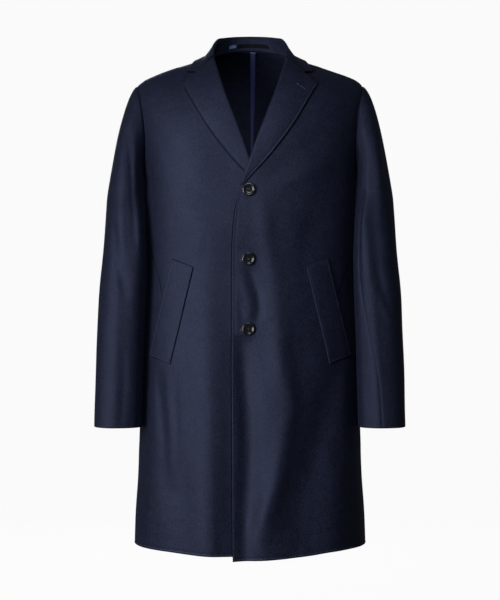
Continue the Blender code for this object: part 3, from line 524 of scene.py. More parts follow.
# ---- fine grids of cloth
EDGE_STEPS = (0.0, 0.0006, 0.0014, 0.0025, 0.0040, 0.0056, 0.0078, 0.0105)   # of a grid, beside its edges
SEAM_DEPTH, SEAM_WIDTH = 0.0010, 0.0022       # groove along a sewn seam
ROLL_EDGE = 0.0020                            # radius of a turned, pressed edge
STITCH_INSET = 0.0048                         # pick stitching from an edge
CHANNEL_DEPTH, CHANNEL_WIDTH = 0.0006, 0.0013     # dip that the stitching draws into the cloth
SWELL_RISE, SWELL_INSET, SWELL_WIDTH = 0.0004, 0.0023, 0.0017     # and how it swells outside the stitches


def cubic_matrix(count, places, breaks=()):
    """Weights that read numbered samples at places between them, smoothly between the breaks."""
    weights = np.zeros((len(places), count))
    ends = [0, *breaks, count - 1]
    for first, last in zip(ends, ends[1:]):
        size = last - first + 1
        slope = np.zeros((size, size))
        for k in range(1, size - 1):
            slope[k, k - 1], slope[k, k + 1] = -0.5, 0.5
        slope[0, :3] = (-1.5, 2.0, -0.5)
        slope[-1, -3:] = (0.5, -2.0, 1.5)
        for r, place in enumerate(places):
            if not first <= place <= last:
                continue
            i = min(int(place - first), size - 2)
            t = place - first - i
            row = (t**3 - 2 * t**2 + t) * slope[i] + (t**3 - t**2) * slope[i + 1]
            row[i] += 2 * t**3 - 3 * t**2 + 1
            row[i + 1] += 3 * t**2 - 2 * t**3
            weights[r] = 0.0
            weights[r, first:last + 1] = row
    return weights


def running_length(points):
    """Distance of each point of a line from its start."""
    return np.concatenate([[0.0], np.cumsum(np.linalg.norm(np.diff(points, axis=0), axis=1))])


def fine_places(samples, step, breaks):
    """Places along a grid's first axis, a step apart on average and closer beside its two ends."""
    lengths = np.linalg.norm(np.diff(samples, axis=0), axis=2).mean(axis=1)
    run = np.concatenate([[0.0], np.cumsum(lengths)])
    edge = np.array(EDGE_STEPS) if run[-1] > 3 * EDGE_STEPS[-1] else np.array(EDGE_STEPS[:5])
    steps = max(2, round((run[-1] - 2 * edge[-1]) / step))
    middle = np.linspace(edge[-1], run[-1] - edge[-1], steps + 1)
    wanted = np.concatenate([edge[:-1], middle, run[-1] - edge[-2::-1]])
    places = np.interp(wanted, run, np.arange(len(run)))
    for b in breaks:
        places = places[abs(places - b) > 0.03]
    return np.union1d(places, breaks)


def borders(grid):
    """The lines along each edge of a grid and the ones next to them."""
    return {"first_row": (grid[0], grid[1]), "last_row": (grid[-1], grid[-2]),
            "first_column": (grid[:, 0], grid[:, 1]), "last_column": (grid[:, -1], grid[:, -2])}


class Cloth:
    """Fine grid of points over one piece: rows along it, columns across it, and normals outwards."""

    def __init__(self, samples, step, out, row_breaks=(), column_breaks=(), cuts=()):
        samples = np.array(samples, float)
        rows = fine_places(samples, step, row_breaks)
        self.columns = fine_places(samples.swapaxes(0, 1), step, column_breaks + cuts)
        down = cubic_matrix(samples.shape[0], rows, row_breaks)
        over = cubic_matrix(samples.shape[1], self.columns, column_breaks)
        self.points = np.einsum("ri,ijk,cj->rck", down, samples, over)
        self.out = out
        self.measure()
        self.inside = None

    def cut(self, first, last):
        """Keep the columns from one place of the samples to another."""
        keep = (self.columns > first - 1e-6) & (self.columns < last + 1e-6)
        self.points = self.points[:, keep]
        self.measure()

    def face(self, forwards, row, column):
        """Turn the normals over if the one at a grid point looks the wrong way."""
        if (self.normals[row, column, 1] < 0) != forwards:
            self.out = -self.out
            self.measure()

    def line_inside(self, thickness, middle=False):
        """Take the points as they are for the cloth's inner face; from a middle sheet, lift the outer one."""
        if middle:
            self.points = self.points + self.normals * thickness / 2
        self.inside = self.points - self.normals * thickness

    def measure(self):
        p = self.points
        normal = np.cross(np.gradient(p, axis=0), np.gradient(p, axis=1)) * self.out
        self.normals = normal / np.maximum(np.linalg.norm(normal, axis=2, keepdims=True), 1e-12)
        down, right = np.zeros(p.shape[:2]), np.zeros(p.shape[:2])
        down[1:] = np.cumsum(np.linalg.norm(p[1:] - p[:-1], axis=2), axis=0)
        right[:, 1:] = np.cumsum(np.linalg.norm(p[:, 1:] - p[:, :-1], axis=2), axis=1)
        self.edge = {"first_row": down, "last_row": down[-1:] - down,
                     "first_column": right, "last_column": right[:, -1:] - right}

    def raise_by(self, relief):
        self.points = self.points + self.normals * relief[..., None]

    def settle(self, folds, *seams):
        """Raise the folds, lay the inner face and draw the sewn edges in."""
        self.raise_by(folds)
        self.measure()
        self.line_inside(WALL)
        self.seam(*seams)

    def seam(self, *edges, keep=1.0):
        for name in edges:
            self.raise_by(-SEAM_DEPTH * keep * np.exp(-((self.edge[name] / SEAM_WIDTH) ** 2)))

    def rolled(self, *edges, keep=1.0):
        for name in edges:
            inside = np.clip(ROLL_EDGE - self.edge[name], 0, ROLL_EDGE)
            self.raise_by(-0.75 * (ROLL_EDGE - np.sqrt(ROLL_EDGE**2 - inside**2)) * keep)

    def channel(self, *edges, inset=STITCH_INSET, keep=1.0):
        for name in edges:
            away = self.edge[name]
            swell = SWELL_RISE * np.exp(-(((away - SWELL_INSET) / SWELL_WIDTH) ** 2))
            dip = CHANNEL_DEPTH * np.exp(-(((away - inset) / CHANNEL_WIDTH) ** 2))
            self.raise_by((swell - dip) * keep)

    def trim(self, *edges):
        """Move edges back from their seams by half the seam's gap; the inner face meets its neighbour's."""
        for name in edges:
            end, beside = borders(self.points)[name]
            way = beside - end
            step = way / np.linalg.norm(way, axis=1, keepdims=True) * SEAM_GAP / 2
            end += step
            inner_end, _ = borders(self.inside)[name]
            inner_end -= step * 1.5

    def line(self, edge, inset, start=0.0, stop=0.0):
        """Points and normals on the cloth along an edge, an inset inside it, cut at both ends."""
        grids = self.points, self.normals, self.edge[edge]
        if edge.endswith("row"):
            grids = [grid.swapaxes(0, 1) for grid in grids]
        if edge.startswith("last"):
            grids = [grid[:, ::-1] for grid in grids]
        points, normals, room = grids
        found = np.array([[np.interp(inset, gaps, values[:, k]) for values in pair for k in range(3)]
                          for *pair, gaps in zip(points, normals, room)])
        run = running_length(found[:, :3])
        keep = (run >= start) & (run <= run[-1] - stop)
        return found[keep, :3], found[keep, 3:]

    def nearest(self, x, z, count):
        """Squared gaps and numbers of the grid points nearest to a place seen from the front."""
        gap = ((self.points[..., 0] - x) ** 2 + (self.points[..., 2] - z) ** 2).ravel()
        order = np.argsort(gap)[:count] if count > 1 else [np.argmin(gap)]
        return gap[order], order

    def surface_at(self, x, z):
        """Point and normal at a place seen from the front, between the nearest grid points."""
        gap, order = self.nearest(x, z, 6)
        weights = 1 / (gap + 1e-9)
        weights /= weights.sum()
        point, normal = [Vector((grid.reshape(-1, 3)[order] * weights[:, None]).sum(axis=0))
                         for grid in (self.points, self.normals)]
        normal.normalize()
        gap = Vector((x - point.x, 0.0, z - point.z))
        return point + gap - normal * gap.dot(normal), normal

    def near(self, x, z):
        """Point and normal of the grid nearest to a place seen from the front."""
        _, (k,) = self.nearest(x, z, 1)
        return Vector(self.points.reshape(-1, 3)[k]), Vector(self.normals.reshape(-1, 3)[k])


# ---- creases, listed one by one
# Each has its rise and width in millimetres, its lean, and the points it runs through. rise is above 0
# for a ridge and below 0 for a trough; lean moves the wider side towards +place. Each point has its place
# and height in millimetres and the strength there; place is x in front and back views and y in side views.
CREASES = {
    ("body_left", "front"): (
        (-9.8, 18, 0, (-16, -545, 0), (-14, -575, 0.6), (-10, -630, 0.9), (-4, -720, 1), (-4, -800, 1),
         (-8, -880, 0.95), (-10, -985, 0.7)),
        (6.6, 19, 0, (52, -520, 0), (62, -600, 0.6), (76, -671, 1), (69, -735, 1), (52, -824, 1),
         (30, -890, 0.8), (12, -945, 0.3), (4, -980, 0)),
        (-3.4, 23.5, 0, (168, -590, 0.3), (163, -620, 0.8), (150, -671, 1), (128, -747, 1), (101, -824, 1),
         (72, -900, 0.9), (46, -965, 0.5)),
        (2, 13, 0, (186, -590, 0), (184, -640, 1), (181, -700, 0.7), (178, -780, 0)),
        (-1.8, 20, 0, (180, -116, 0), (130, -165, 0.8), (70, -215, 1), (20, -255, 0)),
        (1.4, 16, 0.2, (190, -160, 0), (140, -215, 0.9), (75, -255, 0.7), (30, -268, 0)),
        (3.4, 19, 0, (20, -265, 0), (28, -330, 0.9), (38, -400, 1), (48, -480, 0.8), (56, -560, 0.3)),
        (-3.2, 28, 0.2, (150, -270, 0), (125, -320, 1), (112, -380, 0.8), (108, -450, 0)),
        (1.2, 6.2, 0, (-20, -422, 0), (-13, -446, 0.8), (-5, -474, 1), (-1, -500, 0.8), (-4, -522, 0.2)),
        (-3.6, 7.8, 0, (-6, -410, 0.2), (5, -440, 0.8), (15, -470, 1), (18, -500, 0.9), (10, -526, 0.3)),
        (-1.4, 5, 0, (-26, -478, 0), (-18, -500, 0.9), (-14, -520, 1), (-12, -545, 0.5), (-12, -565, 0)),
        (1, 9, 0, (118, -860, 0), (108, -910, 0.8), (100, -985, 1), (98, -1000, 1)),
    ),
    ("body_right", "front"): (
        (8.6, 30, 0, (-88, -300, 0), (-84, -420, 0.3), (-80, -560, 0.6), (-78, -760, 1), (-76, -985, 1)),
        (1.4, 20, 0, (-120, -640, 0), (-112, -740, 0.8), (-104, -860, 1), (-100, -985, 0.6)),
        (-1.9, 8.5, 0.2, (-178, -606, 0), (-176, -660, 1), (-170, -730, 0.7), (-166, -800, 0)),
        (1.5, 8, 0, (-160, -615, 0), (-158, -665, 0.8), (-154, -735, 1), (-150, -850, 0)),
        (-1.3, 7, 0, (-144, -622, 0), (-143, -680, 1), (-140, -760, 0.6), (-138, -820, 0)),
        (1.4, 6, 0.3, (-110, -412, 0), (-104, -390, 1), (-98, -366, 0.8), (-88, -335, 0)),
        (-1.4, 22, 0, (-165, -190, 0), (-130, -250, 0.9), (-85, -300, 0.8), (-40, -345, 0)),
        (-1.1, 6.5, 0, (-60, -880, 0), (-57, -920, 0.8), (-55, -965, 1), (-54, -1000, 1)),
    ),
    ("body_left", "back"): (
        (-2.2, 18, 0.2, (60, -420, 0), (62, -560, 0.8), (60, -760, 1), (52, -975, 0.7)),
        (1.6, 14, 0, (130, -520, 0), (138, -660, 0.9), (140, -820, 1), (138, -975, 0.8)),
        (-1.4, 12, 0, (190, -270, 0), (160, -300, 1), (125, -345, 0.7), (95, -400, 0)),
        (1.2, 10, 0.2, (186, -300, 0), (156, -335, 1), (124, -385, 0.8), (100, -440, 0)),
    ),
    ("body_right", "back"): (
        (-2, 17, -0.2, (-50, -460, 0), (-55, -600, 0.9), (-58, -780, 1), (-64, -975, 0.8)),
        (1.8, 15, 0, (-120, -560, 0), (-130, -690, 0.8), (-136, -840, 1), (-142, -975, 0.7)),
        (-1.2, 12, 0, (-188, -280, 0), (-156, -312, 0.9), (-122, -360, 0.8), (-96, -420, 0)),
    ),
    ("sleeve_left", "front"): (
        (8.4, 15, 0, (207, -115, 0), (208.5, -155, 1), (214, -280, 1), (224, -383, 0.8), (236, -500, 0.6),
         (246, -630, 0.5), (250, -728, 0.4)),
        (-2.6, 11, 0.2, (256, -140, 0), (267, -211, 1), (265, -287, 0.8), (258, -370, 0)),
        (-1.8, 9, 0, (244, -400, 0), (252, -440, 1), (264, -480, 0.8), (280, -510, 0)),
        (1.2, 8, 0, (240, -440, 0), (252, -480, 0.9), (268, -512, 0.8), (284, -535, 0)),
    ),
    ("sleeve_right", "front"): (
        (-2.6, 8.5, 0, (-241, -140, 0), (-236, -180, 1), (-228, -248, 1), (-224.5, -345, 0.9),
         (-220, -390, 0)),
        (2.4, 10, 0, (-256, -150, 0), (-253, -220, 0.8), (-251.6, -287, 1), (-248, -370, 1), (-238, -425, 0)),
        (-3.6, 10, 0, (-270, -310, 0), (-265, -350, 1), (-258, -395, 1), (-248, -440, 0.9), (-236, -485, 0)),
        (2.8, 15, 0, (-264, -400, 0), (-261, -480, 0.8), (-262, -600, 1), (-265, -728, 0.9)),
        (-1.5, 8, 0, (-246, -560, 0), (-244, -620, 0.9), (-247, -680, 0.8), (-252, -735, 0.5)),
    ),
    ("sleeve_left", "back"): (
        (-1.8, 11, 0, (240, -360, 0), (252, -400, 1), (272, -430, 0.8), (290, -450, 0)),
        (1.4, 10, 0.2, (232, -400, 0), (248, -440, 0.9), (270, -470, 0.8), (292, -488, 0)),
        (1.6, 13, 0, (240, -130, 0), (250, -220, 0.9), (258, -330, 0.6), (262, -390, 0)),
    ),
    ("sleeve_right", "back"): (
        (-1.8, 12, 0, (-236, -380, 0), (-252, -416, 1), (-274, -444, 0.8), (-292, -460, 0)),
        (1.3, 10, 0.2, (-232, -420, 0), (-250, -458, 0.8), (-272, -484, 0.9), (-292, -500, 0)),
        (1.6, 13, 0, (-244, -120, 0), (-252, -230, 0.8), (-260, -350, 0.7), (-264, -420, 0)),
    ),
    ("sleeve_left", "side"): (
        (-1.6, 12, 0, (-40, -410, 0), (-15, -440, 0.9), (15, -452, 1), (45, -450, 0)),
        (1.2, 14, 0, (10, -140, 0), (8, -240, 0.9), (-4, -360, 0.8), (-20, -420, 0)),
    ),
    ("sleeve_right", "side"): (
        (-1.6, 13, 0, (-42, -430, 0), (-14, -456, 1), (16, -466, 0.8), (44, -460, 0)),
        (1.2, 14, 0, (12, -150, 0), (6, -250, 0.8), (-6, -370, 0.9), (-22, -430, 0)),
    ),
    ("body_left", "side"): (
        (-1.8, 14, 0, (20, -300, 0), (16, -460, 0.8), (18, -700, 1), (22, -962, 0.7)),
    ),
    ("body_right", "side"): (
        (-1.8, 14, 0, (14, -320, 0), (18, -480, 0.9), (16, -720, 1), (14, -962, 0.6)),
    ),
}
MILLIMETRES = 1000
# Slow unevenness of pressed wool: wave numbers across and up, phase
HAND = ((31, 17, 0.4), (-22, 29, 1.9), (47, -13, 3.1), (12, 41, 4.4), (-55, -21, 5.2), (67, 38, 0.9))
HAND_RISE = 0.00016
BUTTON_CALM = 0.018           # creases fade out this close to a button
NECK_CALM = 0.012             # and this close to the lapels and the collar


def step01(start, end, values):
    """smooth_step for arrays."""
    k = np.clip((values - start) / (end - start), 0.0, 1.0)
    return k * k * (3 - 2 * k)


def crease_rise(rise, width, lean, path, place, height):
    """Relief of one crease at arrays of places and heights."""
    fine = cubic_matrix(len(path), np.linspace(0, len(path) - 1, 33)) @ path
    best = np.full(place.shape, 1e9)
    side, strength = np.zeros(place.shape), np.zeros(place.shape)
    for (u0, z0, s0), (u1, z1, s1) in zip(fine, fine[1:]):
        du, dz = u1 - u0, z1 - z0
        length = math.hypot(du, dz)
        k = np.clip(((place - u0) * du + (height - z0) * dz) / length**2, 0.0, 1.0)
        gap = np.hypot(place - u0 - k * du, height - z0 - k * dz)
        closer = gap < best
        best = np.where(closer, gap, best)
        left = ((place - u0) * dz - (height - z0) * du) / length
        side = np.where(closer, np.sign(left) * (-1 if dz < 0 else 1), side)
        strength = np.where(closer, s0 + k * (s1 - s0), strength)
    return rise * np.clip(strength, 0, None) * np.exp(-((best / (width * (1 + lean * side))) ** 2))


def relief(cloth_name, points, normals):
    """Creases and slow unevenness of the body or a sleeve at a grid of points."""
    x, y, z = points[..., 0], points[..., 1], points[..., 2]
    ny = normals[..., 1]
    outwards = normals[..., 0] * np.sign(x)
    facing = {"front": step01(0.10, 0.42, -ny), "back": step01(0.10, 0.42, ny),
              "side": step01(0.55, 0.85, outwards)}
    total = np.zeros(x.shape)
    for (name, view), creases in CREASES.items():
        for rise, width, lean, *path in creases if name == cloth_name else ():
            path = np.array(path, float) / (MILLIMETRES, MILLIMETRES, 1)
            total += facing[view] * crease_rise(rise / MILLIMETRES, width / MILLIMETRES, lean, path,
                                                y if view == "side" else x, z)
    for across_wave, up_wave, phase in HAND:
        total += HAND_RISE * np.sin(across_wave * (x + 0.6 * y) + up_wave * z + phase)
    for bx, bz in BUTTON_PLACES.values():
        near = np.where(ny < 0, np.hypot(x - bx, z - bz), 1.0)
        total *= 1 - np.exp(-((near / BUTTON_CALM) ** 4))
    if cloth_name.startswith("sleeve"):
        return total * (1 - step01(0.30, 0.70, -outwards))
    return total * (1 - step01(0.80, 0.95, outwards) * step01(0.23, 0.25, -z) * step01(-0.78, -0.76, z))


def calm_by(distance, reach):
    """Factor that lets relief die out towards an edge: 0 at it and 1 from reach on."""
    return step01(0.0, reach, distance)


# ---- materials
TWILL_PITCH, TWILL_SLOPE, YARN_PITCH = 0.0013, 0.62, 0.0007
SATIN_PITCH = 0.0004
WOOL_DARK, WOOL_LIGHT = (0.0020, 0.0028, 0.0080), (0.0170, 0.0212, 0.0450)
WOOL_FLECK = tuple(1.9 * c for c in WOOL_LIGHT)
WOOL_SHEEN, WOOL_SPECULAR = (0.42, 0.50, 0.88), (0.50, 0.58, 1.0)
SATIN_DARK, SATIN_LIGHT = (0.034, 0.044, 0.150), (0.085, 0.105, 0.330)
LOOP_HIGHLIGHT_END = (-0.031, -0.026)       # x between which the loop's painted highlight at its sewn end gives way to painted shade along its length
# Painted shade along the loop and painted highlight at its sewn end, each a pair for the thread's darker and
# lighter fibres
LOOP_SHADE = (0.001, 0.0015, 0.005), (0.003, 0.004, 0.010)
LOOP_HIGHLIGHT = (0.100, 0.150, 0.300), (0.200, 0.270, 0.460)
HORN_DARK, HORN_MIDDLE, HORN_STREAK = (0.003, 0.004, 0.006), (0.009, 0.010, 0.015), (0.035, 0.040, 0.055)
WHITE = (1.0, 1.0, 1.0, 1.0)


def rgba(color):
    """Colour with its alpha, from three parts or one grey."""
    return (*color, 1.0) if isinstance(color, tuple) else (color, color, color, 1.0)


class Shader:
    """Short hand for wiring the nodes of one material."""

    def __init__(self, name):
        self.material = bpy.data.materials.new(name)
        self.material.use_nodes = True
        self.tree = self.material.node_tree

    def feed(self, node, name, value):
        if isinstance(value, bpy.types.NodeSocket):
            self.tree.links.new(value, node.inputs[name])
        else:
            node.inputs[name].default_value = value

    def node(self, kind, inputs=(), **settings):
        node = self.tree.nodes.new("ShaderNode" + kind)
        for name, value in settings.items():
            setattr(node, name, value)
        for name, value in dict(inputs).items():
            self.feed(node, name, value)
        return node

    def flat(self):
        """Place on the flat cloth, across and along it."""
        return self.node("UVMap", uv_map="cloth").outputs[0]

    def place(self):
        return self.node("TexCoord").outputs["Object"]

    def part(self, coordinates, number):
        return self.node("SeparateXYZ", {0: coordinates}).outputs[number]

    def math(self, operation, a, b=0.0):
        return self.node("Math", {0: a, 1: b}, operation=operation).outputs[0]

    def times(self, a, b):
        return self.math("MULTIPLY", a, b)

    def plus(self, a, b):
        return self.math("ADD", a, b)

    def wave(self, value, pitch):
        return self.math("SINE", self.times(value, math.tau / pitch))

    def noise(self, coordinates, scale, detail, roughness=0.5, stretch=None):
        if stretch:
            coordinates = self.node("Mapping", {"Vector": coordinates, "Scale": stretch}).outputs[0]
        return self.node("TexNoise", {"Vector": coordinates, "Scale": scale, "Detail": detail,
                                      "Roughness": roughness}).outputs["Fac"]

    def ramp(self, value, *stops):
        node = self.node("ValToRGB", {"Fac": value})
        elements = node.color_ramp.elements
        while len(elements) < len(stops):
            elements.new(0.5)
        for element, (place, color) in zip(elements, stops):
            element.position = place
            element.color = rgba(color)
        return node.outputs["Color"]

    def mix(self, factor, a, b):
        return self.node("Mix", {0: factor, 6: a, 7: b}, data_type="RGBA").outputs[2]

    def bump(self, height, strength, distance, **under):
        return self.node("Bump", {"Height": height, "Strength": strength, "Distance": distance,
                                  **under}).outputs[0]

    def finish(self, **values):
        for name, value in values.items():
            self.feed(self.tree.nodes["Principled BSDF"], name.replace("_", " "), value)
        return self.material


def wool_material():
    """Brushed wool twill: fine diagonal ribs under a soft nap, with lighter fibres here and there."""
    s = Shader("navy_wool")
    flat, place = s.flat(), s.place()
    along = s.part(flat, 1)
    wobble = s.times(s.noise(flat, 260.0, 1.0), 0.0005)
    rib = s.wave(s.plus(s.plus(s.part(flat, 0), wobble), s.times(along, TWILL_SLOPE)), TWILL_PITCH)
    weave = s.plus(s.times(rib, 0.35), s.times(s.wave(along, YARN_PITCH), 0.10))
    nap = s.noise(place, 1500.0, 3.0, 0.65, (1.0, 1.0, 0.28))
    fibre = s.noise(flat, 2600.0, 2.0, 0.6, (1.0, 0.16, 1.0))
    speckle = s.noise(place, 520.0, 2.0, 0.55, (1.0, 1.0, 0.8))
    mottle = s.noise(place, 55.0, 3.0, 0.55)
    tone = s.plus(s.plus(s.times(nap, 0.22), s.times(mottle, 0.14)), s.times(speckle, 0.64))
    flecks = s.ramp(fibre, (0.60, 0.0), (0.78, 1.0))
    color = s.ramp(tone, (0.38, WOOL_DARK), (0.62, WOOL_LIGHT))
    color = s.mix(s.times(flecks, 0.35), color, rgba(WOOL_FLECK))
    height = s.plus(s.times(weave, 0.6), s.plus(nap, s.times(fibre, 0.5)))
    grain = s.bump(s.noise(place, 600.0, 1.0, 0.5, (1.0, 1.0, 0.8)), 0.60, 0.00050)
    return s.finish(Base_Color=color, Roughness=s.ramp(nap, (0.3, 0.47), (0.7, 0.57)),
                    Normal=s.bump(height, 0.55, 0.00035, Normal=grain),
                    Sheen_Weight=0.05, Sheen_Roughness=0.42, Sheen_Tint=rgba(WOOL_SHEEN),
                    Specular_IOR_Level=0.42, Specular_Tint=rgba(WOOL_SPECULAR))


def satin_material():
    s = Shader("blue_satin")
    flat = s.flat()
    thread = s.noise(flat, 3800.0, 2.0, 0.6, (1.0, 0.08, 1.0))
    height = s.plus(s.times(s.wave(s.part(flat, 0), SATIN_PITCH), 0.4), thread)
    return s.finish(Base_Color=s.ramp(thread, (0.3, SATIN_DARK), (0.75, SATIN_LIGHT)), Roughness=0.32,
                    Normal=s.bump(height, 0.35, 0.0002), Sheen_Weight=0.15, Specular_IOR_Level=0.6)


def loop_material():
    """Satin with a painted highlight at its sewn end, at the wearer's right, and painted shade along the rest
    of its length.
    """
    s = Shader("loop_satin")
    place = s.place()
    end = s.node("MapRange", {"Value": s.part(place, 0), "From Min": LOOP_HIGHLIGHT_END[0], "From Max": LOOP_HIGHLIGHT_END[1]})
    thread = s.noise(place, 3800.0, 2.0, 0.6, (0.2, 1.0, 1.0))
    light, dark = [s.ramp(thread, (0.3, low), (0.75, high)) for low, high in (LOOP_HIGHLIGHT, LOOP_SHADE)]
    return s.finish(Base_Color=s.mix(end.outputs[0], light, dark), Roughness=0.50,
                    Normal=s.bump(thread, 0.3, 0.0002), Specular_IOR_Level=0.15)


def horn_material():
    """Dark polished horn: blue-black with a few paler streaks."""
    s = Shader("dark_horn")
    place = s.place()
    streak = s.noise(place, 260.0, 4.0, 0.6, (1.0, 1.0, 0.25))
    fine = s.noise(place, 1400.0, 2.0, 0.6, (1.0, 1.0, 0.12))
    tone = s.plus(s.times(streak, 0.7), s.times(fine, 0.3))
    return s.finish(Base_Color=s.ramp(tone, (0.34, HORN_DARK), (0.60, HORN_MIDDLE), (0.80, HORN_STREAK)),
                    Roughness=s.ramp(fine, (0.3, 0.17), (0.8, 0.27)), Normal=s.bump(fine, 0.15, 0.0001),
                    Coat_Weight=0.7, Coat_Roughness=0.08)


def thread_material(name, color, sheen=0.3, specular=0.5):
    s = Shader(name)
    twist = s.noise(s.place(), 5200.0, 2.0, 0.6)
    dark, light = [tuple(share * c for c in color) for share in (0.6, 1.3)]
    return s.finish(Base_Color=s.ramp(twist, (0.3, dark), (0.7, light)), Roughness=0.55,
                    Normal=s.bump(twist, 0.4, 0.0001), Sheen_Weight=sheen, Specular_IOR_Level=specular)


WOOL = wool_material()
SATIN = satin_material()
LOOP_SATIN = loop_material()
HORN = horn_material()
THREAD = thread_material("navy_thread", (0.052, 0.060, 0.104))
SEAM_SHADE = thread_material("seam_shadow", (0.0016, 0.0020, 0.0045), 0.0, 0.05)
BUTTON_THREAD = thread_material("button_thread", (0.050, 0.052, 0.062))


# ---- meshes
SHARP_ANGLE = math.radians(50)


def grid_faces(rows, columns, out):
    """Faces of a wall's outer skin, of its inner one, and of the rim that joins them."""
    index = np.arange(rows * columns).reshape(rows, columns)
    outer = np.stack([index[:-1, :-1], index[1:, :-1], index[1:, 1:], index[:-1, 1:]], axis=-1).reshape(-1, 4)
    loop = np.concatenate([index[0, :-1], index[:-1, -1], index[-1, :0:-1], index[:0:-1, 0]])
    after, skin = np.roll(loop, -1), rows * columns
    rim = np.stack([loop, after, after + skin, loop + skin], axis=-1)
    faces = np.concatenate([outer, outer[:, ::-1] + skin, rim])
    return faces[:, ::-1] if out < 0 else faces


def cloth_mesh(name, cloth, material):
    """Closed wall between a cloth's outer and inner points, with its own flat coordinates."""
    faces = grid_faces(*cloth.points.shape[:2], cloth.out)
    points = np.concatenate([cloth.points.reshape(-1, 3), cloth.inside.reshape(-1, 3)])
    mesh = bpy.data.meshes.new(name)
    mesh.from_pydata(points.tolist(), [], faces.tolist())
    flat = np.stack([cloth.edge["first_column"], cloth.edge["first_row"]], axis=-1).reshape(-1, 2)
    flat = np.concatenate([flat, flat])
    layer = mesh.uv_layers.new(name="cloth")
    layer.data.foreach_set("uv", flat[faces.reshape(-1)].astype(np.float32).ravel())
    mesh.materials.append(material)
    mesh.shade_smooth()
    mesh.set_sharp_from_angle(angle=SHARP_ANGLE)
    return mesh


def linked(name, data):
    thing = bpy.data.objects.new(name, data)
    bpy.context.scene.collection.objects.link(thing)
    return thing


def add_piece(name, mesh):
    piece = linked(name, mesh)
    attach(piece, "root")
    return piece


def add_cloth(name, cloth, material=WOOL, node=None):
    piece = add_piece(name, cloth_mesh(name, cloth, material))
    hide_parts(node)
    return piece


def built_mesh(name, build):
    mesh = bpy.data.meshes.new(name)
    build.to_mesh(mesh)
    build.free()
    return mesh


def add_built(name, build, material, parent, turn=None):
    """Piece of the looks alone, which another piece carries."""
    bmesh.ops.recalc_face_normals(build, faces=build.faces)
    mesh = built_mesh(name, build)
    if turn is not None:
        mesh.transform(turn)
    mesh.materials.append(material)
    mesh.shade_smooth()
    piece = add_piece(name, mesh)
    piece.parent = parent


def circle(centre, side, up, radius, count):
    """Points round a centre, from its side direction towards its up direction."""
    return [centre + side * radius * math.cos(angle) + up * radius * math.sin(angle)
            for angle in (math.tau * k / count for k in range(count))]


def add_strip(build, rows):
    """Faces between rows of the same number of points."""
    rows = [[build.verts.new(point) for point in row] for row in rows]
    for a, b in zip(rows, rows[1:]):
        for k in range(len(a) - 1):
            build.faces.new((a[k], a[k + 1], b[k + 1], b[k]))


def add_tube(build, rings, closed=False):
    rows = [[build.verts.new(point) for point in ring] for ring in rings]
    pairs = list(zip(rows, rows[1:]))
    if closed:
        pairs.append((rows[-1], rows[0]))
    for a, b in pairs:
        for k in range(len(a)):
            n = (k + 1) % len(a)
            build.faces.new((a[k], a[n], b[n], b[k]))
    if not closed:
        build.faces.new(rows[0][::-1])
        build.faces.new(rows[-1])


# ---- stitches
STITCH_PITCH, STITCH_LENGTH, STITCH_RADIUS = 0.0050, 0.0027, 0.00034
STITCH_SIDES = 5
# Share of a stitch's length, height of its middle and its swell, both as shares of its radius
STITCH_PROFILE = ((0.0, -0.9, 0.5), (0.2, 0.3, 0.9), (0.5, 0.6, 1.0), (0.8, 0.3, 0.9), (1.0, -0.9, 0.5))
STITCH_WANDER, STITCH_SPREAD = 0.0003, 0.12       # unevenness of their places and of their lengths


def add_stitches(name, lines, parent, pitch=STITCH_PITCH, length=STITCH_LENGTH, radius=STITCH_RADIUS):
    """One piece with a row of stitches along each line of points and normals; each dips in at its ends."""
    build = bmesh.new()
    for line in lines:
        run = running_length(line[0])

        def at(place, line=line, run=run):
            return [Vector([np.interp(place, run, grid[:, k]) for k in range(3)]) for grid in line]

        for k in range(int((run[-1] - length) / pitch) + 1):
            place = k * pitch + STITCH_WANDER * math.sin(7.1 * k)
            start, normal = at(place)
            normal.normalize()
            way = at(place + length * (1 + STITCH_SPREAD * math.sin(3.3 * k)))[0] - start
            side = way.cross(normal).normalized()
            rings = []
            for share, lift, swell in STITCH_PROFILE:
                centre = start + way * share + normal * radius * lift
                rings.append(circle(centre, side, normal, radius * swell, STITCH_SIDES))
            add_tube(build, rings)
    add_built(name, build, THREAD, parent)


# ---- panels
PANEL_STEP, SLEEVE_STEP = 0.0036, 0.0038
BACK_STEP = PANEL_STEP * 1.1
SEAM_FADE = 0.010             # creases die out this close to a seam
CENTRE_FADE, BACK_TOP_FADE = 0.02, 0.10       # and this close to the back's centre seam and its top
HEAD_FADE = 0.025             # and to the top of a sleeve
LAPEL_WIDTH = 0.075           # past the roll line, over which a front's creases are calmed at the chest
LAPEL_FOOT_Z = -0.262         # below it a front's inner edge is a turned one
INNER_RISE = 0.0006           # how much fuller a sleeve is where it faces the body
FOLD_LIMIT = 0.009            # of a front's creases, out and in
COVER_X = (0.022, 0.056)      # across the right front, where the left one's creases give way to its own
HALF_ROWS = spread(0, BODY_ROWS, 2 * BODY_ROWS)
PANEL_SEAMS = {"front": ("last_column", "last_row"), "back": ("first_column", "last_column", "last_row"),
               "top": ("first_column", "last_column"), "under": ("first_column", "last_column")}


def sample(point, rows, columns):
    return [[point(r, c) for c in columns] for r in rows]


